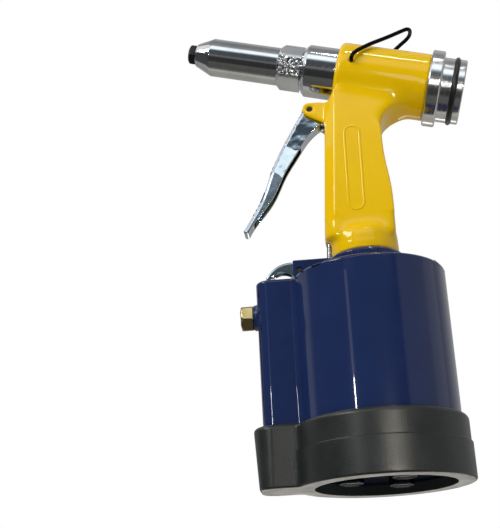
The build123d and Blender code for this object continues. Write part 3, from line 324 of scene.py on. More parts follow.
def make_handling_marks():
    """Fine scratches in two directions, cloudy finger marks and the slight waves of pressed metal."""
    group, entry, leave = new_group(
        "handling_marks",
        [("Clean", "Float", 0.08), ("Handled", "Float", 0.22), ("Waves", "Float", 0.0)],
        ("Mask", "Float"),
    )
    where = entry.outputs["Vector"]
    cloud = noise(group, where, 75.0, 4.0, 0.6)
    waves = noise(group, where, 62.0, 1.2, 0.45)
    lines = []
    for turn, stretch in ((0.4, (900, 60, 900)), (-0.7, (700, 700, 45))):
        turned = place(group, "ShaderNodeMapping", {"Vector": where, "Rotation": (turn, turn * 0.6, turn),
                                                    "Scale": stretch})
        field = noise(group, turned.outputs["Vector"], 1.0, 1.0)
        lines.append(spread(group, field, 0.66, 0.72, 0.0, 1.0))
    scratch = maths(group, "MAXIMUM", lines[0], lines[1])
    rough = spread(group, cloud, 0.35, 0.75, entry.outputs["Clean"], entry.outputs["Handled"])
    rough = maths(group, "ADD", rough, maths(group, "MULTIPLY", scratch, 0.06))
    height = maths(group, "SUBTRACT", maths(group, "MULTIPLY", cloud, 0.4), scratch)
    height = maths(group, "ADD", height, maths(group, "MULTIPLY", waves, entry.outputs["Waves"]))
    fill_group(group, leave, Roughness=rough, Height=height, Mask=cloud)


def make_rubber_grain():
    """Moulded rubber: fine spark-eroded grain under a dry bloom."""
    group, entry, leave = new_group(
        "rubber_grain",
        [("Colour", "Color", (0, 0, 0, 1)), ("Bloom", "Color", (0, 0, 0, 1)),
         ("Grain Scale", "Float", 1500.0)],
        ("Colour", "Color"),
    )
    where = entry.outputs["Vector"]
    grain = noise(group, where, entry.outputs["Grain Scale"], 2.0, 0.6)
    cloud = noise(group, where, 55.0, 4.0, 0.6)
    bloom = maths(group, "MULTIPLY", spread(group, cloud, 0.35, 0.8, 0.0, 0.7),
                  spread(group, grain, 0.4, 0.7, 0.3, 1.0))
    colour = mixed(group, bloom, entry.outputs["Colour"], entry.outputs["Bloom"])
    rough = spread(group, cloud, 0.3, 0.7, 0.30, 0.40)
    fill_group(group, leave, Colour=colour, Roughness=rough, Height=grain)


def start_material(name, group, values, mapping=None, **constants):
    """A material with one effect group and a Principled shader with its constants set."""
    material = bpy.data.materials.new(name)
    tree = empty_tree(material)
    where = place(tree, "ShaderNodeTexCoord").outputs["Object"]
    if mapping:
        where = place(tree, "ShaderNodeMapping", {"Vector": where, **mapping}).outputs["Vector"]
    effect = place(tree, "ShaderNodeGroup", {"Vector": where, **values},
                   node_tree=bpy.data.node_groups[group])
    inputs = {key.replace("_", " "): value for key, value in constants.items()}
    shader = place(tree, "ShaderNodeBsdfPrincipled", {"Roughness": effect.outputs["Roughness"], **inputs})
    place(tree, "ShaderNodeOutputMaterial", {"Surface": shader.outputs[0]})
    return material, tree, effect, shader


def bump(tree, height, strength, distance, under=None):
    """Raise the surface by a height pattern; distance in metres. Gives the normal."""
    made = place(tree, "ShaderNodeBump", {"Height": height, "Strength": strength, "Distance": distance})
    if under:
        tree.links.new(under, made.inputs["Normal"])
    return made.outputs["Normal"]


def coating(name, group, values, strength, depth, **constants):
    """A paint or a rubber, with its group's colour and height."""
    material, tree, effect, shader = start_material(name, group, values, IOR=1.5, **constants)
    tree.links.new(effect.outputs["Colour"], shader.inputs["Base Color"])
    tree.links.new(bump(tree, effect.outputs["Height"], strength, depth), shader.inputs["Normal"])
    material.diffuse_color = values["Colour"]
    return material


def enamel(name, colour, deep, nibs, coat):
    """Gloss enamel over a casting."""
    values = {"Colour": (*colour, 1), "Deep Colour": (*deep, 1), "Nibs": nibs}
    return coating(name, "paint_film", values, 0.35, 0.06 * MM, Coat_Weight=coat, Coat_Roughness=0.03,
                   Specular_IOR_Level=0.03)


def rubber(name, colour, bloom, scale, depth):
    """Moulded or lathe-cut rubber."""
    values = {"Colour": (*colour, 1), "Bloom": (*bloom, 1), "Grain Scale": scale}
    return coating(name, "rubber_grain", values, 0.5, depth)


def tint_metal(tree, shader, mask, colour, share):
    """Colour a metal, duller where the mask is high."""
    dull = tuple(channel * share for channel in colour)
    tint = mixed(tree, spread(tree, mask, 0.35, 0.7, 0.0, 1.0), (*colour, 1), (*dull, 1))
    tree.links.new(tint, shader.inputs["Base Color"])


def hammer_flats(tree, effect, shader, under):
    """Forge two flats of the nose's hexagon: dents, dark marks and worn edges. Gives the normal."""
    where = effect.inputs["Vector"].links[0].from_socket
    along = part_of(tree, where, "X")
    inside = maths(tree, "MULTIPLY", maths(tree, "GREATER_THAN", along, SPANNER_FRONT),
                   maths(tree, "LESS_THAN", along, SPANNER_REAR))
    turn = math.radians(shape().spanner_turn)
    across = reach_along(tree, where, (0, -math.sin(turn), math.cos(turn)))
    flat = spread(tree, maths(tree, "ABSOLUTE", across), 5.5 * MM, 7.0 * MM, 1.0, 0.0)
    forged = maths(tree, "MULTIPLY", inside, flat)
    dents = maths(tree, "MULTIPLY", noise(tree, where, 620.0, 2.5, 0.6), forged)
    marks = spread(tree, noise(tree, where, 760.0, 2.0, 0.6), 0.48, 0.54, 0.0, 0.92)
    bare = shader.inputs["Base Color"].links[0].from_socket
    stained = mixed(tree, maths(tree, "MULTIPLY", marks, forged), bare, (0.06, 0.062, 0.058, 1))
    tree.links.new(stained, shader.inputs["Base Color"])
    worn = spread(tree, flat, 0.0, 1.0, 0.36, 0.12)
    turned = effect.outputs["Roughness"]
    rough = place(tree, "ShaderNodeMix", {0: inside, 2: turned, 3: worn}, data_type="FLOAT")
    tree.links.new(rough.outputs[0], shader.inputs["Roughness"])
    return bump(tree, dents, 1.0, 2.0 * MM, under)


def turned_metal(name, colour, smooth, coarse, depth, pitch, hammered=False):
    """Metal finished on a lathe, with its rings across the barrel; its spanner flats may be rough forged."""
    start = (-BARREL.dot(BACK), 0, -BARREL.dot(UP))
    material, tree, effect, shader = start_material(
        name, "turning_marks", {"Pitch Scale": pitch, "Smooth": smooth, "Coarse": coarse},
        mapping={"Rotation": (0, -RAKE, 0), "Location": start}, Metallic=1.0,
    )
    tint_metal(tree, shader, effect.outputs["Mask"], colour, 0.82)
    normal = bump(tree, effect.outputs["Height"], 0.3, depth)
    if hammered:
        normal = hammer_flats(tree, effect, shader, normal)
    tree.links.new(normal, shader.inputs["Normal"])
    material.diffuse_color = (*colour, 1)
    return material


def flank_swell(tree, under):
    """The slow swell of the pressed trigger's flanks, which look a little down, up and down again."""
    run = Vector((-0.476, 0, -0.879))
    start = Vector((-26.5, 0, 241.7)).dot(run) * MM
    length = 85.0 * MM
    stray = 2.8 * MM
    where = place(tree, "ShaderNodeTexCoord").outputs["Object"]
    uneven = spread(tree, noise(tree, where, 120.0, 1.5, 0.5), 0.2, 0.8, -stray, stray)
    along = maths(tree, "ADD", reach_along(tree, where, run), uneven)
    swell = ramp(tree, spread(tree, along, start, start + length, 0.0, 1.0),
                 [(0.0, grey(0.62)), (0.353, grey(0.02)), (0.606, grey(0.58)), (1.0, grey(0.44))])
    return bump(tree, swell, 1.0, 3.0 * MM, under)


def paint_head_shade(tree, effect, shader, face):
    """Paint shade on the screw heads: their faces and flanks get a dark colour as painted shade, but for a bare,
    bright rim just above their faces; what lies higher stays bare.
    """
    height = part_of(tree, effect.inputs["Vector"].links[0].from_socket, "Z")
    head = 4.0 * MM
    rim = ramp(tree, spread(tree, height, face, face + head, 0.0, 1.0),
               [(0.0, grey(0.0)), (0.01, grey(0.0)), (0.03, grey(1.0)), (0.14, grey(1.0)),
                (0.18, grey(0.12))])
    shown = maths(tree, "MAXIMUM", rim, spread(tree, height, 20.0 * MM, 21.0 * MM, 0.0, 1.0))
    bare = shader.inputs["Base Color"].links[0].from_socket
    # Painted shade: the dark colour laid over the heads' faces and flanks
    tree.links.new(mixed(tree, shown, (0.022, 0.026, 0.030, 1), bare), shader.inputs["Base Color"])


def handled_metal(name, colour, clean, handled, depth, waves=0.0, glance=(1, 1, 1), shade_face=None,
                  pressed=False):
    """Plated or bare metal with finger marks and fine scratches; given a face height, it paints shade on the screw
    heads.
    """
    material, tree, effect, shader = start_material(
        name, "handling_marks", {"Clean": clean, "Handled": handled, "Waves": waves},
        Metallic=1.0, Specular_Tint=(*glance, 1),
    )
    tint_metal(tree, shader, effect.outputs["Mask"], colour, 0.8)
    if shade_face is not None:
        paint_head_shade(tree, effect, shader, shade_face)
    normal = bump(tree, effect.outputs["Height"], 0.3, depth)
    if pressed:
        normal = flank_swell(tree, normal)
    tree.links.new(normal, shader.inputs["Normal"])
    material.diffuse_color = (*colour, 1)
    return material


def make_finishes():
    """Every material slot of the record gets its finish."""
    make_paint_film()
    make_turning_marks()
    make_handling_marks()
    make_rubber_grain()
    look = finish()
    screw_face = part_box("end_cap_screws")[0][2]
    return {
        "yellow_enamel": enamel("yellow_gloss", look.casting, look.casting_deep, nibs=0.5, coat=0.7),
        "navy_enamel": enamel("navy_gloss", look.cylinder, look.cylinder_deep, nibs=0.5, coat=1.0),
        "cap_enamel": enamel("navy_plate", look.end_plate, look.end_plate, nibs=0.3, coat=0.8),
        "boot_rubber": rubber("boot_black", look.rubber, look.rubber_dust, scale=900.0, depth=0.16 * MM),
        "seal_rubber": rubber("seal_black", look.seal, look.seal, scale=2500.0, depth=0.02 * MM),
        "bumper_rubber": rubber("bumper_black", look.rubber, look.seal, scale=2000.0, depth=0.03 * MM),
        "plated_steel": turned_metal("plated_nose", look.plated, smooth=0.08, coarse=0.16, depth=0.003 * MM,
                                     pitch=2600.0, hammered=True),
        "chrome_plate": handled_metal("chrome_lever", look.chrome, clean=0.04, handled=0.09, depth=0.03 * MM,
                                      waves=22.0, pressed=True),
        "black_steel": handled_metal("blackened_steel", look.blackened, clean=0.32, handled=0.45,
                                     depth=0.02 * MM),
        "black_wire": handled_metal("coated_wire", look.wire, clean=0.25, handled=0.4, depth=0.02 * MM),
        "turned_aluminium": turned_metal("turned_aluminium", look.aluminium, smooth=0.14, coarse=0.26,
                                         depth=0.010 * MM, pitch=1800.0),
        "pin_steel": handled_metal("bright_steel", look.bright, clean=0.15, handled=0.3, depth=0.01 * MM),
        # The zinc's near-black grazing tint and its darkened heads are painted shade
        "zinc_steel": handled_metal("zinc_plate", look.zinc, clean=0.18, handled=0.32, depth=0.02 * MM,
                                    glance=(0.01, 0.01, 0.012), shade_face=screw_face),
        "spring_steel": handled_metal("spring_wire", look.bright, clean=0.2, handled=0.35, depth=0.01 * MM),
        "brass": handled_metal("turned_brass", look.brass, clean=0.14, handled=0.26, depth=0.03 * MM,
                               waves=20.0),
        "white_plastic": rubber("backing_white", look.plastic, look.plastic, scale=1800.0, depth=0.01 * MM),
    }


class RIVETGUN_OT_finishes(bpy.types.Operator):
    """Give every CAD node the finish of its material slot"""

    bl_idname = "rivetgun.finishes"
    bl_label = "Finishes"

    def execute(self, context):
        made = make_finishes()
        for node in NODES.values():
            slot = node.material_slots[0].material.name
            if slot not in made:
                raise RuntimeError("no finish for slot " + slot)
            node["slot_name"] = slot
            node.material_slots[0].material = made[slot]
        return {"FINISHED"}


def copy_of(node_name):
    """A bmesh with a CAD node's surface, merged at its seams."""
    mesh = bmesh.new()
    mesh.from_mesh(NODES[node_name].data)
    bmesh.ops.remove_doubles(mesh, verts=mesh.verts, dist=2e-6)
    return mesh


def keen_edges(mesh, least, wanted=None):
    """Edges that turn by more than an angle in degrees."""
    limit = math.radians(least)
    return [edge for edge in mesh.edges
            if edge.is_manifold and edge.calc_face_angle() > limit and (wanted is None or wanted(edge))]


def round_edges(mesh, edges, width, segments):
    """Round edges by a width."""
    bmesh.ops.bevel(mesh, geom=edges, offset=width, offset_type="OFFSET", affect="EDGES", segments=segments,
                    profile=0.5, material=-1, clamp_overlap=False)


def flat_faced_copy(node_name):
    """A merged copy whose flat faces are whole again."""
    mesh = copy_of(node_name)
    bmesh.ops.dissolve_limit(mesh, angle_limit=math.radians(0.4), verts=mesh.verts, edges=mesh.edges)
    return mesh


def rounded_copy(node_name, width, segments):
    """A copy of a node with every keen edge rounded."""
    mesh = flat_faced_copy(node_name)
    round_edges(mesh, keen_edges(mesh, 25.0), width, segments)
    return mesh


def new_object(name, mesh):
    """An object in the scene with a bmesh's surface; the bmesh is used up."""
    data = bpy.data.meshes.new(name)
    mesh.to_mesh(data)
    mesh.free()
    made = bpy.data.objects.new(name, data)
    bpy.context.scene.collection.objects.link(made)
    return made


def add_piece(name, mesh, node_name):
    """Make the piece that stands for a CAD node, with the node's body and finish."""
    node = NODES[node_name]
    piece = new_object(name, mesh)
    piece.data.shade_smooth()
    piece.data.materials.append(node.material_slots[0].material)
    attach(piece, BODY_OF[node_name])
    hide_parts(node_name)
    return piece


def flatten_normals(piece):
    """Let the large faces rule the shading beside rounded edges."""
    weighted = piece.modifiers.new("even shading", "WEIGHTED_NORMAL")
    weighted.weight = 60
    weighted.keep_sharp = True


def remeshed(mesh, cell):
    """The same form in small even cells."""
    rough = new_object("rough", mesh)
    cells = rough.modifiers.new("cells", "REMESH")
    cells.mode = "VOXEL"
    cells.voxel_size = cell
    even = bpy.data.meshes.new_from_object(rough.evaluated_get(bpy.context.evaluated_depsgraph_get()))
    bpy.data.meshes.remove(rough.data)
    made = bmesh.new()
    made.from_mesh(even)
    bpy.data.meshes.remove(even)
    return made


def relax(mesh, verts, passes):
    """Smooth some vertices over and over."""
    for _ in range(passes):
        bmesh.ops.smooth_vert(mesh, verts=verts, factor=0.5, use_axis_x=True, use_axis_y=True,
                              use_axis_z=True)


def panel_bead(mesh, centre, lean):
    """A half-sunk bead round the bare panel on the grip's side."""
    sizes = shape()
    radius = sizes.panel_bead
    bend = sizes.panel_width / 2 - radius
    straight = sizes.panel_length / 2 - sizes.panel_width / 2
    made = bmesh.ops.create_circle(mesh, segments=20, radius=radius,
                                   matrix=Matrix.Translation((-bend, 0, -straight)))
    every = list(made["verts"])
    last = list({edge for vert in every for edge in vert.link_edges})
    for sign in (1, -1):
        grown = bmesh.ops.extrude_edge_only(mesh, edges=last)["geom"]
        new_verts = [item for item in grown if isinstance(item, bmesh.types.BMVert)]
        bmesh.ops.translate(mesh, verts=new_verts, vec=(0, 0, sign * 2 * straight))
        last = [item for item in grown
                if isinstance(item, bmesh.types.BMEdge) and all(vert in new_verts for vert in item.verts)]
        every += new_verts
        before = set(mesh.verts)
        swung = bmesh.ops.spin(mesh, geom=new_verts + last, cent=(0, 0, sign * straight), axis=(0, 1, 0),
                               dvec=(0, 0, 0), angle=math.pi, steps=16, use_merge=False, use_duplicate=False)
        every += [vert for vert in mesh.verts if vert not in before]
        last = [item for item in swung["geom_last"] if isinstance(item, bmesh.types.BMEdge)]
    every = list(set(every))
    bmesh.ops.remove_doubles(mesh, verts=every, dist=0.02 * MM)
    every = [vert for vert in every if vert.is_valid]
    bmesh.ops.recalc_face_normals(mesh, faces=list({face for vert in every for face in vert.link_faces}))
    bmesh.ops.rotate(mesh, verts=every, cent=(0, 0, 0), matrix=Matrix.Rotation(math.radians(lean), 3, "Y"))
    bmesh.ops.translate(mesh, verts=every, vec=centre)


LUG_LOW = (-29.0 * MM, -10.0 * MM, 241.0 * MM)
LUG_HIGH = (-14.9 * MM, 10.0 * MM, 249.5 * MM)


def level_lug(point):
    """Lower the trigger lug's top to a line that is level in front and falls a little behind."""
    if all(low < value < high for low, value, high in zip(LUG_LOW, point, LUG_HIGH)):
        top = 243.9 * MM
        fall_start = -24.0 * MM
        point.z = min(point.z, top - 0.09 * max(point.x - fall_start, 0))


class RIVETGUN_OT_casting(bpy.types.Operator):
    """Round the corners of the cast head and grip, and blend them, as a painted casting shows them"""

    bl_idname = "rivetgun.casting"
    bl_label = "Casting"

    cap_seat = 48.2 * MM
    foot = 138.6 * MM
    boss_low, boss_high = 142.0 * MM, 162.0 * MM
    ram_clear = 11.0 * MM
    crook_x, crook_z, crook_reach = 22.0 * MM, 232.0 * MM, 13.0 * MM
    web_front, web_rear = -7.0 * MM, 44.0 * MM
    bore_clear = 15.0 * MM
    panel_centre = Vector((-2.7 * MM, -GRIP_HALF, 192.5 * MM))
    panel_half_x, panel_half_z, panel_skin = 7.5 * MM, 32.5 * MM, 0.8 * MM

    def blend(self, mesh):
        """Smooth the corners, the boss, the crook behind the grip and the head's web."""
        sizes = shape()
        web_drop = math.sqrt(HEAD_RADIUS * HEAD_RADIUS - GRIP_HALF * GRIP_HALF)
        free, near, boss, crook = [], [], [], []
        for vert in mesh.verts:
            spot = vert.co
            along = (spot - BARREL).dot(BACK)
            rise = (spot - BARREL).dot(UP)
            if along < self.cap_seat and spot.z > self.foot:
                free.append(vert)
            if self.boss_low < spot.z < self.boss_high and math.hypot(spot.x, spot.y) > self.ram_clear:
                boss.append(vert)
            if math.hypot(spot.x - self.crook_x, spot.z - self.crook_z) < self.crook_reach:
                crook.append(vert)
            if self.web_front < along < self.web_rear and math.hypot(rise, spot.y) > self.bore_clear:
                near.append((math.hypot(rise + web_drop, abs(spot.y) - GRIP_HALF), vert))
        relax(mesh, free, sizes.cast_rounds)
        relax(mesh, boss, sizes.boss_rounds)
        relax(mesh, crook, sizes.boss_rounds)
        for share in (1.0, 0.75, 0.5):
            relax(mesh, [vert for gap, vert in near if gap < sizes.blend_reach * share], sizes.blend_rounds)

    def execute(self, context):
        sizes = shape()
        mesh = remeshed(copy_of("body_casting"), sizes.cast_cell)
        for vert in mesh.verts:
            level_lug(vert.co)
        mesh = remeshed(mesh, sizes.cast_cell)
        self.blend(mesh)
        centre = self.panel_centre
        for vert in mesh.verts:
            offset = vert.co - centre
            if (abs(offset.x) < self.panel_half_x and abs(offset.z) < self.panel_half_z
                    and offset.y < self.panel_skin):
                vert.co.y = centre.y
        panel_bead(mesh, centre + Vector((0, 0.68 * sizes.panel_bead, 0)), 1.0)
        add_piece("cast_body", mesh, "body_casting")
        return {"FINISHED"}


class RIVETGUN_OT_nose(bpy.types.Operator):
    """Break the edges of the sleeve, the housing and the nosepiece"""

    bl_idname = "rivetgun.nose"
    bl_label = "Nose"

    def execute(self, context):
        sizes = shape()
        for node_name, width in (("nose_sleeve", sizes.edge), ("nose_housing", sizes.edge),
                                 ("nosepiece", sizes.nose_edge)):
            mesh = rounded_copy(node_name, width, 3)
            if node_name == "nose_housing":
                bmesh.ops.rotate(mesh, verts=mesh.verts, cent=BARREL,
                                 matrix=Matrix.Rotation(math.radians(sizes.spanner_turn), 3, BACK))
            flatten_normals(add_piece(node_name + "_turned", mesh, node_name))
        return {"FINISHED"}


class RIVETGUN_OT_rear_cap(bpy.types.Operator):
    """Break the edges of the turned rear cap"""

    bl_idname = "rivetgun.rear_cap"
    bl_label = "Rear cap"

    def execute(self, context):
        flatten_normals(add_piece("rear_cap_turned", rounded_copy("rear_cap", shape().edge, 3), "rear_cap"))
        return {"FINISHED"}


def on_outer_bend(edge, half, arched):
    """Whether an edge runs along a lever's outer bend, which on an arched lever goes over its top as well."""
    on_side = all(abs(vert.co.y) > half for vert in edge.verts)
    ahead = any(face.normal.x < -0.25 and face.normal.z > -0.3 for face in edge.link_faces)
    over = arched and any(face.normal.z > 0.3 for face in edge.link_faces)
    return on_side and (ahead or over)


class RIVETGUN_OT_levers(bpy.types.Operator):
    """Round the pressed trigger and rocker, most along their outer bends"""

    bl_idname = "rivetgun.levers"
    bl_label = "Levers"

    def execute(self, context):
        sizes = shape()
        for node_name, arched, bend_share, edge_share in (("trigger", False, 1.0, 1.0),
                                                          ("rocker", True, 0.5, 1.4)):
            half = max(abs(corner[1]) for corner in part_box(node_name)) - 0.02 * MM
            mesh = flat_faced_copy(node_name)
            bends = set(keen_edges(mesh, 40.0, lambda edge: on_outer_bend(edge, half, arched)))
            rest = [edge for edge in keen_edges(mesh, 25.0) if edge not in bends]
            round_edges(mesh, rest, sizes.lever_edge * edge_share, 3)
            bends = keen_edges(mesh, 40.0, lambda edge: on_outer_bend(edge, half, arched))
            round_edges(mesh, bends, sizes.lever_round * bend_share, 5)
            flatten_normals(add_piece(node_name + "_pressed", mesh, node_name))
        return {"FINISHED"}


class RIVETGUN_OT_cylinder(bpy.types.Operator):
    """Soften the painted cylinder's edges and break those of its brass inlet"""

    bl_idname = "rivetgun.cylinder"
    bl_label = "Cylinder"

    def execute(self, context):
        sizes = shape()
        body = add_piece("cylinder_cast", rounded_copy("air_cylinder", sizes.paint_edge, 3), "air_cylinder")
        fitting = rounded_copy("inlet_bush", sizes.inlet_edge, 3)
        low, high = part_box("inlet_bush")
        bmesh.ops.rotate(fitting, verts=fitting.verts, cent=(0, 0, (low[2] + high[2]) / 2),
                         matrix=Matrix.Rotation(math.radians(sizes.inlet_turn), 3, "X"))
        inlet = add_piece("inlet_turned", fitting, "inlet_bush")
        for piece in (body, inlet):
            flatten_normals(piece)
        return {"FINISHED"}


def on_boot_step(edge):
    """Whether an edge runs round the boot's step, behind the lobe."""
    return all(abs(vert.co.z - BOOT_STEP) < 0.5 * MM and math.hypot(vert.co.x, vert.co.y) > 47.0 * MM
               and vert.co.x > -38.0 * MM for vert in edge.verts)


class RIVETGUN_OT_boot(bpy.types.Operator):
    """Round the moulded boot's step and taper its lobe"""

    bl_idname = "rivetgun.boot"
    bl_label = "Boot"

    def execute(self, context):
        mesh = flat_faced_copy("rubber_boot")
        round_edges(mesh, keen_edges(mesh, 25.0, on_boot_step), shape().rubber_edge, 3)
        low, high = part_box("rubber_boot")
        wall = 3.3 * MM
        for vert in mesh.verts:
            skin = max(0, low[0] + wall - vert.co.x) / wall
            vert.co.x -= skin * shape().lobe_taper * (1.8 * vert.co.z / high[2] - 1.0)
        piece = add_piece("boot_moulded", mesh, "rubber_boot")
        piece.data.set_sharp_from_angle(angle=math.radians(35))
        flatten_normals(piece)
        return {"FINISHED"}


class RIVETGUN_OT_fasteners(bpy.types.Operator):
    """Break the edges of the screws, the nut and the pins that show"""

    bl_idname = "rivetgun.fasteners"
    bl_label = "Fasteners"

    def execute(self, context):
        for node_name in ("end_cap_screws", "rod_nut", "fill_screw", "trigger_pin", "rocker_pin",
                          "cylinder_end_cap"):
            width = shape().screw_edge if node_name == "end_cap_screws" else shape().edge
            flatten_normals(add_piece(node_name + "_finished", rounded_copy(node_name, width, 2), node_name))
        return {"FINISHED"}


class RIVETGUN_OT_springs(bpy.types.Operator):
    """Copy the two springs into pieces of their own, each with its own mesh, on their nodes' bodies"""

    bl_idname = "rivetgun.springs"
    bl_label = "Springs"

    def execute(self, context):
        for node_name, joint_name in (("return_spring", "pull_piston_stroke"),
                                      ("valve_spring", "valve_stem_slide")):
            mesh = copy_of(node_name)
            piece = add_piece(node_name + "_coils", mesh, node_name)
            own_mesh(piece)
        return {"FINISHED"}


# Half of the hook's wire, in millimetres: along the barrel, above it and to the side
HOOK_LINE = (
    (1.4, 0.0, -17.5), (1.4, 0.0, -22.8), (1.5, 0.7, -24.3), (2.1, 2.9, -24.5), (4.5, 6.7, -23.3),
    (7.5, 10.5, -21.4), (11.5, 15.4, -18.8), (20.6, 25.7, -12.6), (28.2, 34.1, -8.4), (31.3, 37.3, -6.6),
    (33.1, 38.8, -3.8), (33.6, 39.1, 0.0),
)


def smooth_line(points, steps):
    """Points along a smooth line through the given ones."""
    ends = [points[0] * 2 - points[1], *points, points[-1] * 2 - points[-2]]
    line = []
    for index in range(1, len(ends) - 2):
        a, b, c, d = ends[index - 1:index + 3]
        for step in range(steps):
            t = step / steps
            line.append(0.5 * (2 * b + (c - a) * t + (2 * a - 5 * b + 4 * c - d) * t * t
                               + (3 * b - 3 * c + d - a) * t * t * t))
    line.append(points[-1])
    return line


class RIVETGUN_OT_hook(bpy.types.Operator):
    """Bend the hook's wire along its smooth line, sprung into the two holes"""

    bl_idname = "rivetgun.hook"
    bl_label = "Hook"

    def execute(self, context):
        hole = HOOK_LINE[0][0]
        half = [BARREL + BACK * (along - hole) * MM + UP * rise * MM + Vector((0, side * MM, 0))
                for along, rise, side in HOOK_LINE]
        points = half + [Vector((spot.x, -spot.y, spot.z)) for spot in reversed(half[:-1])]
        line = smooth_line(points, 6)
        mesh = bmesh.new()
        loops = []
        for index, spot in enumerate(line):
            ahead = line[min(index + 1, len(line) - 1)] - line[max(index - 1, 0)]
            side = ahead.cross(UP).normalized()
            turn = Matrix((side, ahead.cross(side).normalized(), ahead.normalized())).transposed().to_4x4()
            is_end = index in (0, len(line) - 1)
            made = bmesh.ops.create_circle(mesh, cap_ends=is_end, segments=14, radius=shape().wire_radius,
                                           matrix=Matrix.Translation(spot) @ turn)
            ring = set(made["verts"])
            loops.append([edge for vert in ring for edge in vert.link_edges if set(edge.verts) <= ring])
        for first, second in zip(loops, loops[1:]):
            bmesh.ops.bridge_loops(mesh, edges=list(set(first + second)))
        bmesh.ops.recalc_face_normals(mesh, faces=mesh.faces)
        add_piece("hook_wire", mesh, "hook")
        return {"FINISHED"}


class RIVETGUN_OT_stage(bpy.types.Operator):
    """Lay the floor, hang the lamps and set the camera"""

    bl_idname = "rivetgun.stage"
    bl_label = "Stage"

    def execute(self, context):
        make_floor()
        make_world()
        make_lamps()
        make_camera()
        context.scene.view_settings.view_transform = "Standard"
        return {"FINISHED"}


def make_floor():
    """A plain pale floor, seen from above only, that takes the tool's shadow."""
    mesh = bmesh.new()
    bmesh.ops.create_grid(mesh, x_segments=1, y_segments=1, size=3.0)
    floor = new_object("floor", mesh)
    floor.location.z = -0.2 * MM
    for ray in ("diffuse", "glossy", "transmission", "shadow"):
        setattr(floor, "visible_" + ray, False)
    material = bpy.data.materials.new("floor_pale")
    tree = empty_tree(material)
    where = place(tree, "ShaderNodeTexCoord").outputs["Object"]
    cloud = noise(tree, where, 3.0, 3.0)
    pale = tuple(stage().floor)
    duller = tuple(channel * 0.97 for channel in pale)
    colour = mixed(tree, cloud, (*pale, 1), (*duller, 1))
    matt = place(tree, "ShaderNodeBsdfDiffuse", {"Color": colour}).outputs[0]
    through = place(tree, "ShaderNodeBsdfTransparent").outputs[0]
    back = place(tree, "ShaderNodeNewGeometry").outputs["Backfacing"]
    either = place(tree, "ShaderNodeMixShader", {0: back, 1: matt, 2: through}).outputs[0]
    place(tree, "ShaderNodeOutputMaterial", {"Surface": either})
    floor.data.materials.append(material)


# Colours of the studio's walls over a full turn about X, and about Z for what lies to the sides
ROOM_TURN = (
    (0.0, grey(0.05)), (0.012, grey(0.05)), (0.018, grey(0.11)), (0.04, grey(0.09)), (0.05, grey(0.023)),
    (0.125, grey(0.02)), (0.145, (0.072, 0.070, 0.064)), (0.235, (0.060, 0.058, 0.053)),
    (0.275, (0.11, 0.105, 0.095)), (0.298, (0.36, 0.35, 0.31)), (0.33, (0.34, 0.33, 0.29)),
    (0.36, (0.27, 0.26, 0.23)), (0.45, (0.25, 0.24, 0.21)), (0.53, grey(0.26)), (0.60, grey(0.31)),
    (0.70, grey(0.31)), (0.755, grey(0.17)), (0.80, grey(0.17)), (0.835, grey(0.22)), (0.862, grey(0.34)),
    (0.872, (0.92, 0.98, 1.0)), (0.916, (0.92, 0.98, 1.0)), (0.926, (0.30, 0.35, 0.38)),
    (0.942, (0.05, 0.065, 0.075)), (1.0, grey(0.05)),
)
ROOM_SIDES = (
    (0.0, grey(0.30)), (0.06, grey(0.30)), (0.14, grey(0.20)), (0.20, grey(0.26)), (0.225, grey(0.05)),
    (0.39, grey(0.03)), (0.61, grey(0.03)), (0.622, grey(0.22)), (0.735, grey(0.25)), (0.75, grey(0.35)),
    (0.805, grey(0.36)), (0.82, grey(0.22)), (0.86, grey(0.30)), (1.0, grey(0.30)),
)


def make_world():
    """White to the camera, a soft grey for fill, and a studio of light and dark walls for reflections."""
    world = bpy.data.worlds.new("studio")
    bpy.context.scene.world = world
    tree = empty_tree(world)
    way = place(tree, "ShaderNodeSeparateXYZ", {0: place(tree, "ShaderNodeTexCoord").outputs["Generated"]})
    tilt = maths(tree, "ARCTAN2", way.outputs["Z"], way.outputs["Y"])
    heading = maths(tree, "ARCTAN2", way.outputs["X"], maths(tree, "MULTIPLY", way.outputs["Y"], -1.0))
    rooms = [ramp(tree, spread(tree, angle, -math.pi, math.pi, 0.0, 1.0), stops)
             for angle, stops in ((tilt, ROOM_TURN), (heading, ROOM_SIDES))]
    aside = spread(tree, maths(tree, "ABSOLUTE", way.outputs["X"]), 0.38, 0.56, 0.0, 1.0)
    level = spread(tree, maths(tree, "ABSOLUTE", way.outputs["Z"]), 0.55, 0.75, 1.0, 0.0)
    walls = mixed(tree, maths(tree, "MULTIPLY", aside, level), rooms[0], rooms[1])
    glows = []
    for colour, strength in ((walls, 1.5), ((1, 1, 1, 1), stage().fill), ((1, 1, 1, 1), 1.0)):
        glow = place(tree, "ShaderNodeBackground", {"Color": colour, "Strength": strength})
        glows.append(glow.outputs[0])
    mirror, soft, white = glows
    path = place(tree, "ShaderNodeLightPath")
    seen = maths(tree, "MAXIMUM", path.outputs["Is Camera Ray"], path.outputs["Is Transmission Ray"])
    unseen = place(tree, "ShaderNodeMixShader", {0: path.outputs["Is Glossy Ray"], 1: soft, 2: mirror})
    either = place(tree, "ShaderNodeMixShader", {0: seen, 1: unseen.outputs[0], 2: white})
    place(tree, "ShaderNodeOutputWorld", {"Surface": either.outputs[0]})


def hang_lamp(name, place_at, aim, size, size_y, power, glossy, colour=(1, 1, 1)):
    """An area lamp that points at a spot of the tool, for soft light or only for its reflection."""
    data = bpy.data.lights.new(name, "AREA")
    data.shape = "RECTANGLE"
    data.size = size
    data.size_y = size_y
    data.energy = power
    data.color = colour
    lamp = bpy.data.objects.new(name, data)
    lamp.location = place_at
    lamp.rotation_euler = (Vector(aim) - Vector(place_at)).to_track_quat("-Z", "Y").to_euler()
    bpy.context.scene.collection.objects.link(lamp)
    lamp.visible_camera = False
    lamp.visible_glossy = glossy
    lamp.visible_diffuse = not glossy


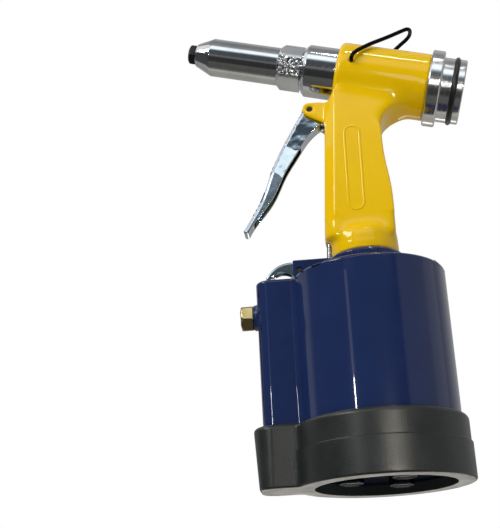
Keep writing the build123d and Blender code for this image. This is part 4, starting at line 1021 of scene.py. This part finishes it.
def toward(spot, heading, height, distance):
    """A place seen from a spot, by a heading to the camera's right and a height angle in degrees."""
    turn = math.radians(heading)
    lift = math.radians(height)
    ray = Vector((math.sin(turn) * math.cos(lift), -math.cos(turn) * math.cos(lift), math.sin(lift)))
    return Vector(spot) + ray * distance


def make_lamps():
    """Soft lamps for the colours, and narrow ones that only show as reflections."""
    settings = stage()
    middle = (0, 0, 0.16)
    head = (0.02, 0, 0.26)
    foot = (0, -0.045, 0.05)
    lever = (-0.045, 0, 0.2)
    hang_lamp("key", (-1.9, -2.4, 2.5), middle, 2.4, 2.4, settings.key, False)
    hang_lamp("low", (0.1, -0.7, -0.6), (0, 0, 0), 0.6, 0.6, settings.low, False)
    hang_lamp("tube", (0.185, -0.44, 1.15), head, 0.19, 0.02, settings.tube, True)
    hang_lamp("catch", toward(head, -3, -9, 1.0), head, 0.09, 0.26, settings.catch, True)
    hang_lamp("side", toward(middle, -52, 30.5, 1.0), middle, 0.26, 0.23, settings.side, True)
    hang_lamp("foot", toward(foot, -35, 11, 1.0), foot, 0.02, 0.09, settings.foot, True)
    hang_lamp("rise", toward(foot, -35, 18.5, 1.0), foot, 0.07, 0.16, settings.rise, True)
    hang_lamp("sky", toward(lever, -86, 48, 0.8), lever, 0.9, 0.45, settings.sky, True)
    hang_lamp("front", toward(foot, 14, 5, 0.9), foot, 0.20, 0.05, settings.front, True, (1.0, 0.92, 0.80))
    hang_lamp("under", (0.03, 0.96, -0.137), (0, 0, 0), 0.4, 0.12, settings.under, True, (1.0, 0.96, 0.88))


def make_camera():
    """The camera of the photograph, which looks up at the tool from below its foot."""
    data = bpy.data.cameras.new("camera")
    data.sensor_fit = "HORIZONTAL"
    data.sensor_width = 36.0
    data.lens = stage().lens
    data.clip_start = 0.01
    data.clip_end = 50.0
    camera = bpy.data.objects.new("camera", data)
    right = Vector((0.99456595, 0.09378252, -0.04520416))
    up = Vector((0.07490032, -0.3429902, 0.93634805))
    forward = Vector((-0.07230849, 0.93464569, 0.34815071))
    turn = Matrix((right, up, -forward)).transposed().to_4x4()
    stand = (-0.026417, -0.577580, -0.075636)
    camera.matrix_world = Matrix.Translation(stand) @ turn
    bpy.context.scene.collection.objects.link(camera)
    bpy.context.scene.camera = camera


class RIVETGUN_PT_panel(bpy.types.Panel):
    """The rivet gun's pieces and settings"""

    bl_idname = "RIVETGUN_PT_panel"
    bl_label = "Rivet gun"
    bl_space_type = "VIEW_3D"
    bl_region_type = "UI"
    bl_category = "Rivet gun"

    def draw(self, context):
        column = self.layout.column()
        for operator in OPERATORS:
            column.operator(operator.bl_idname)
        for group in (finish(), shape(), stage()):
            for name in group.__annotations__:
                column.prop(group, name)


GROUPS = (
    ("rivet_gun_finish", RivetGunFinish), ("rivet_gun_shape", RivetGunShape),
    ("rivet_gun_stage", RivetGunStage),
)
OPERATORS = (
    RIVETGUN_OT_finishes, RIVETGUN_OT_casting, RIVETGUN_OT_nose, RIVETGUN_OT_rear_cap, RIVETGUN_OT_levers,
    RIVETGUN_OT_cylinder, RIVETGUN_OT_boot, RIVETGUN_OT_fasteners, RIVETGUN_OT_springs, RIVETGUN_OT_hook,
    RIVETGUN_OT_stage,
)


def register():
    """Add the settings, the operators and the panel."""
    for name, group in GROUPS:
        bpy.utils.register_class(group)
        setattr(bpy.types.Scene, name, PointerProperty(type=group))
    for kind in (*OPERATORS, RIVETGUN_PT_panel):
        bpy.utils.register_class(kind)


def unregister():
    """Take them away again."""
    for kind in reversed((*OPERATORS, RIVETGUN_PT_panel)):
        bpy.utils.unregister_class(kind)
    for name, group in reversed(GROUPS):
        delattr(bpy.types.Scene, name)
        bpy.utils.unregister_class(group)


def main():
    """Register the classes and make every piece."""
    register()
    for operator in OPERATORS:
        area, verb = operator.bl_idname.split(".")
        getattr(getattr(bpy.ops, area), verb)()


if __name__ == "__main__":
    main()
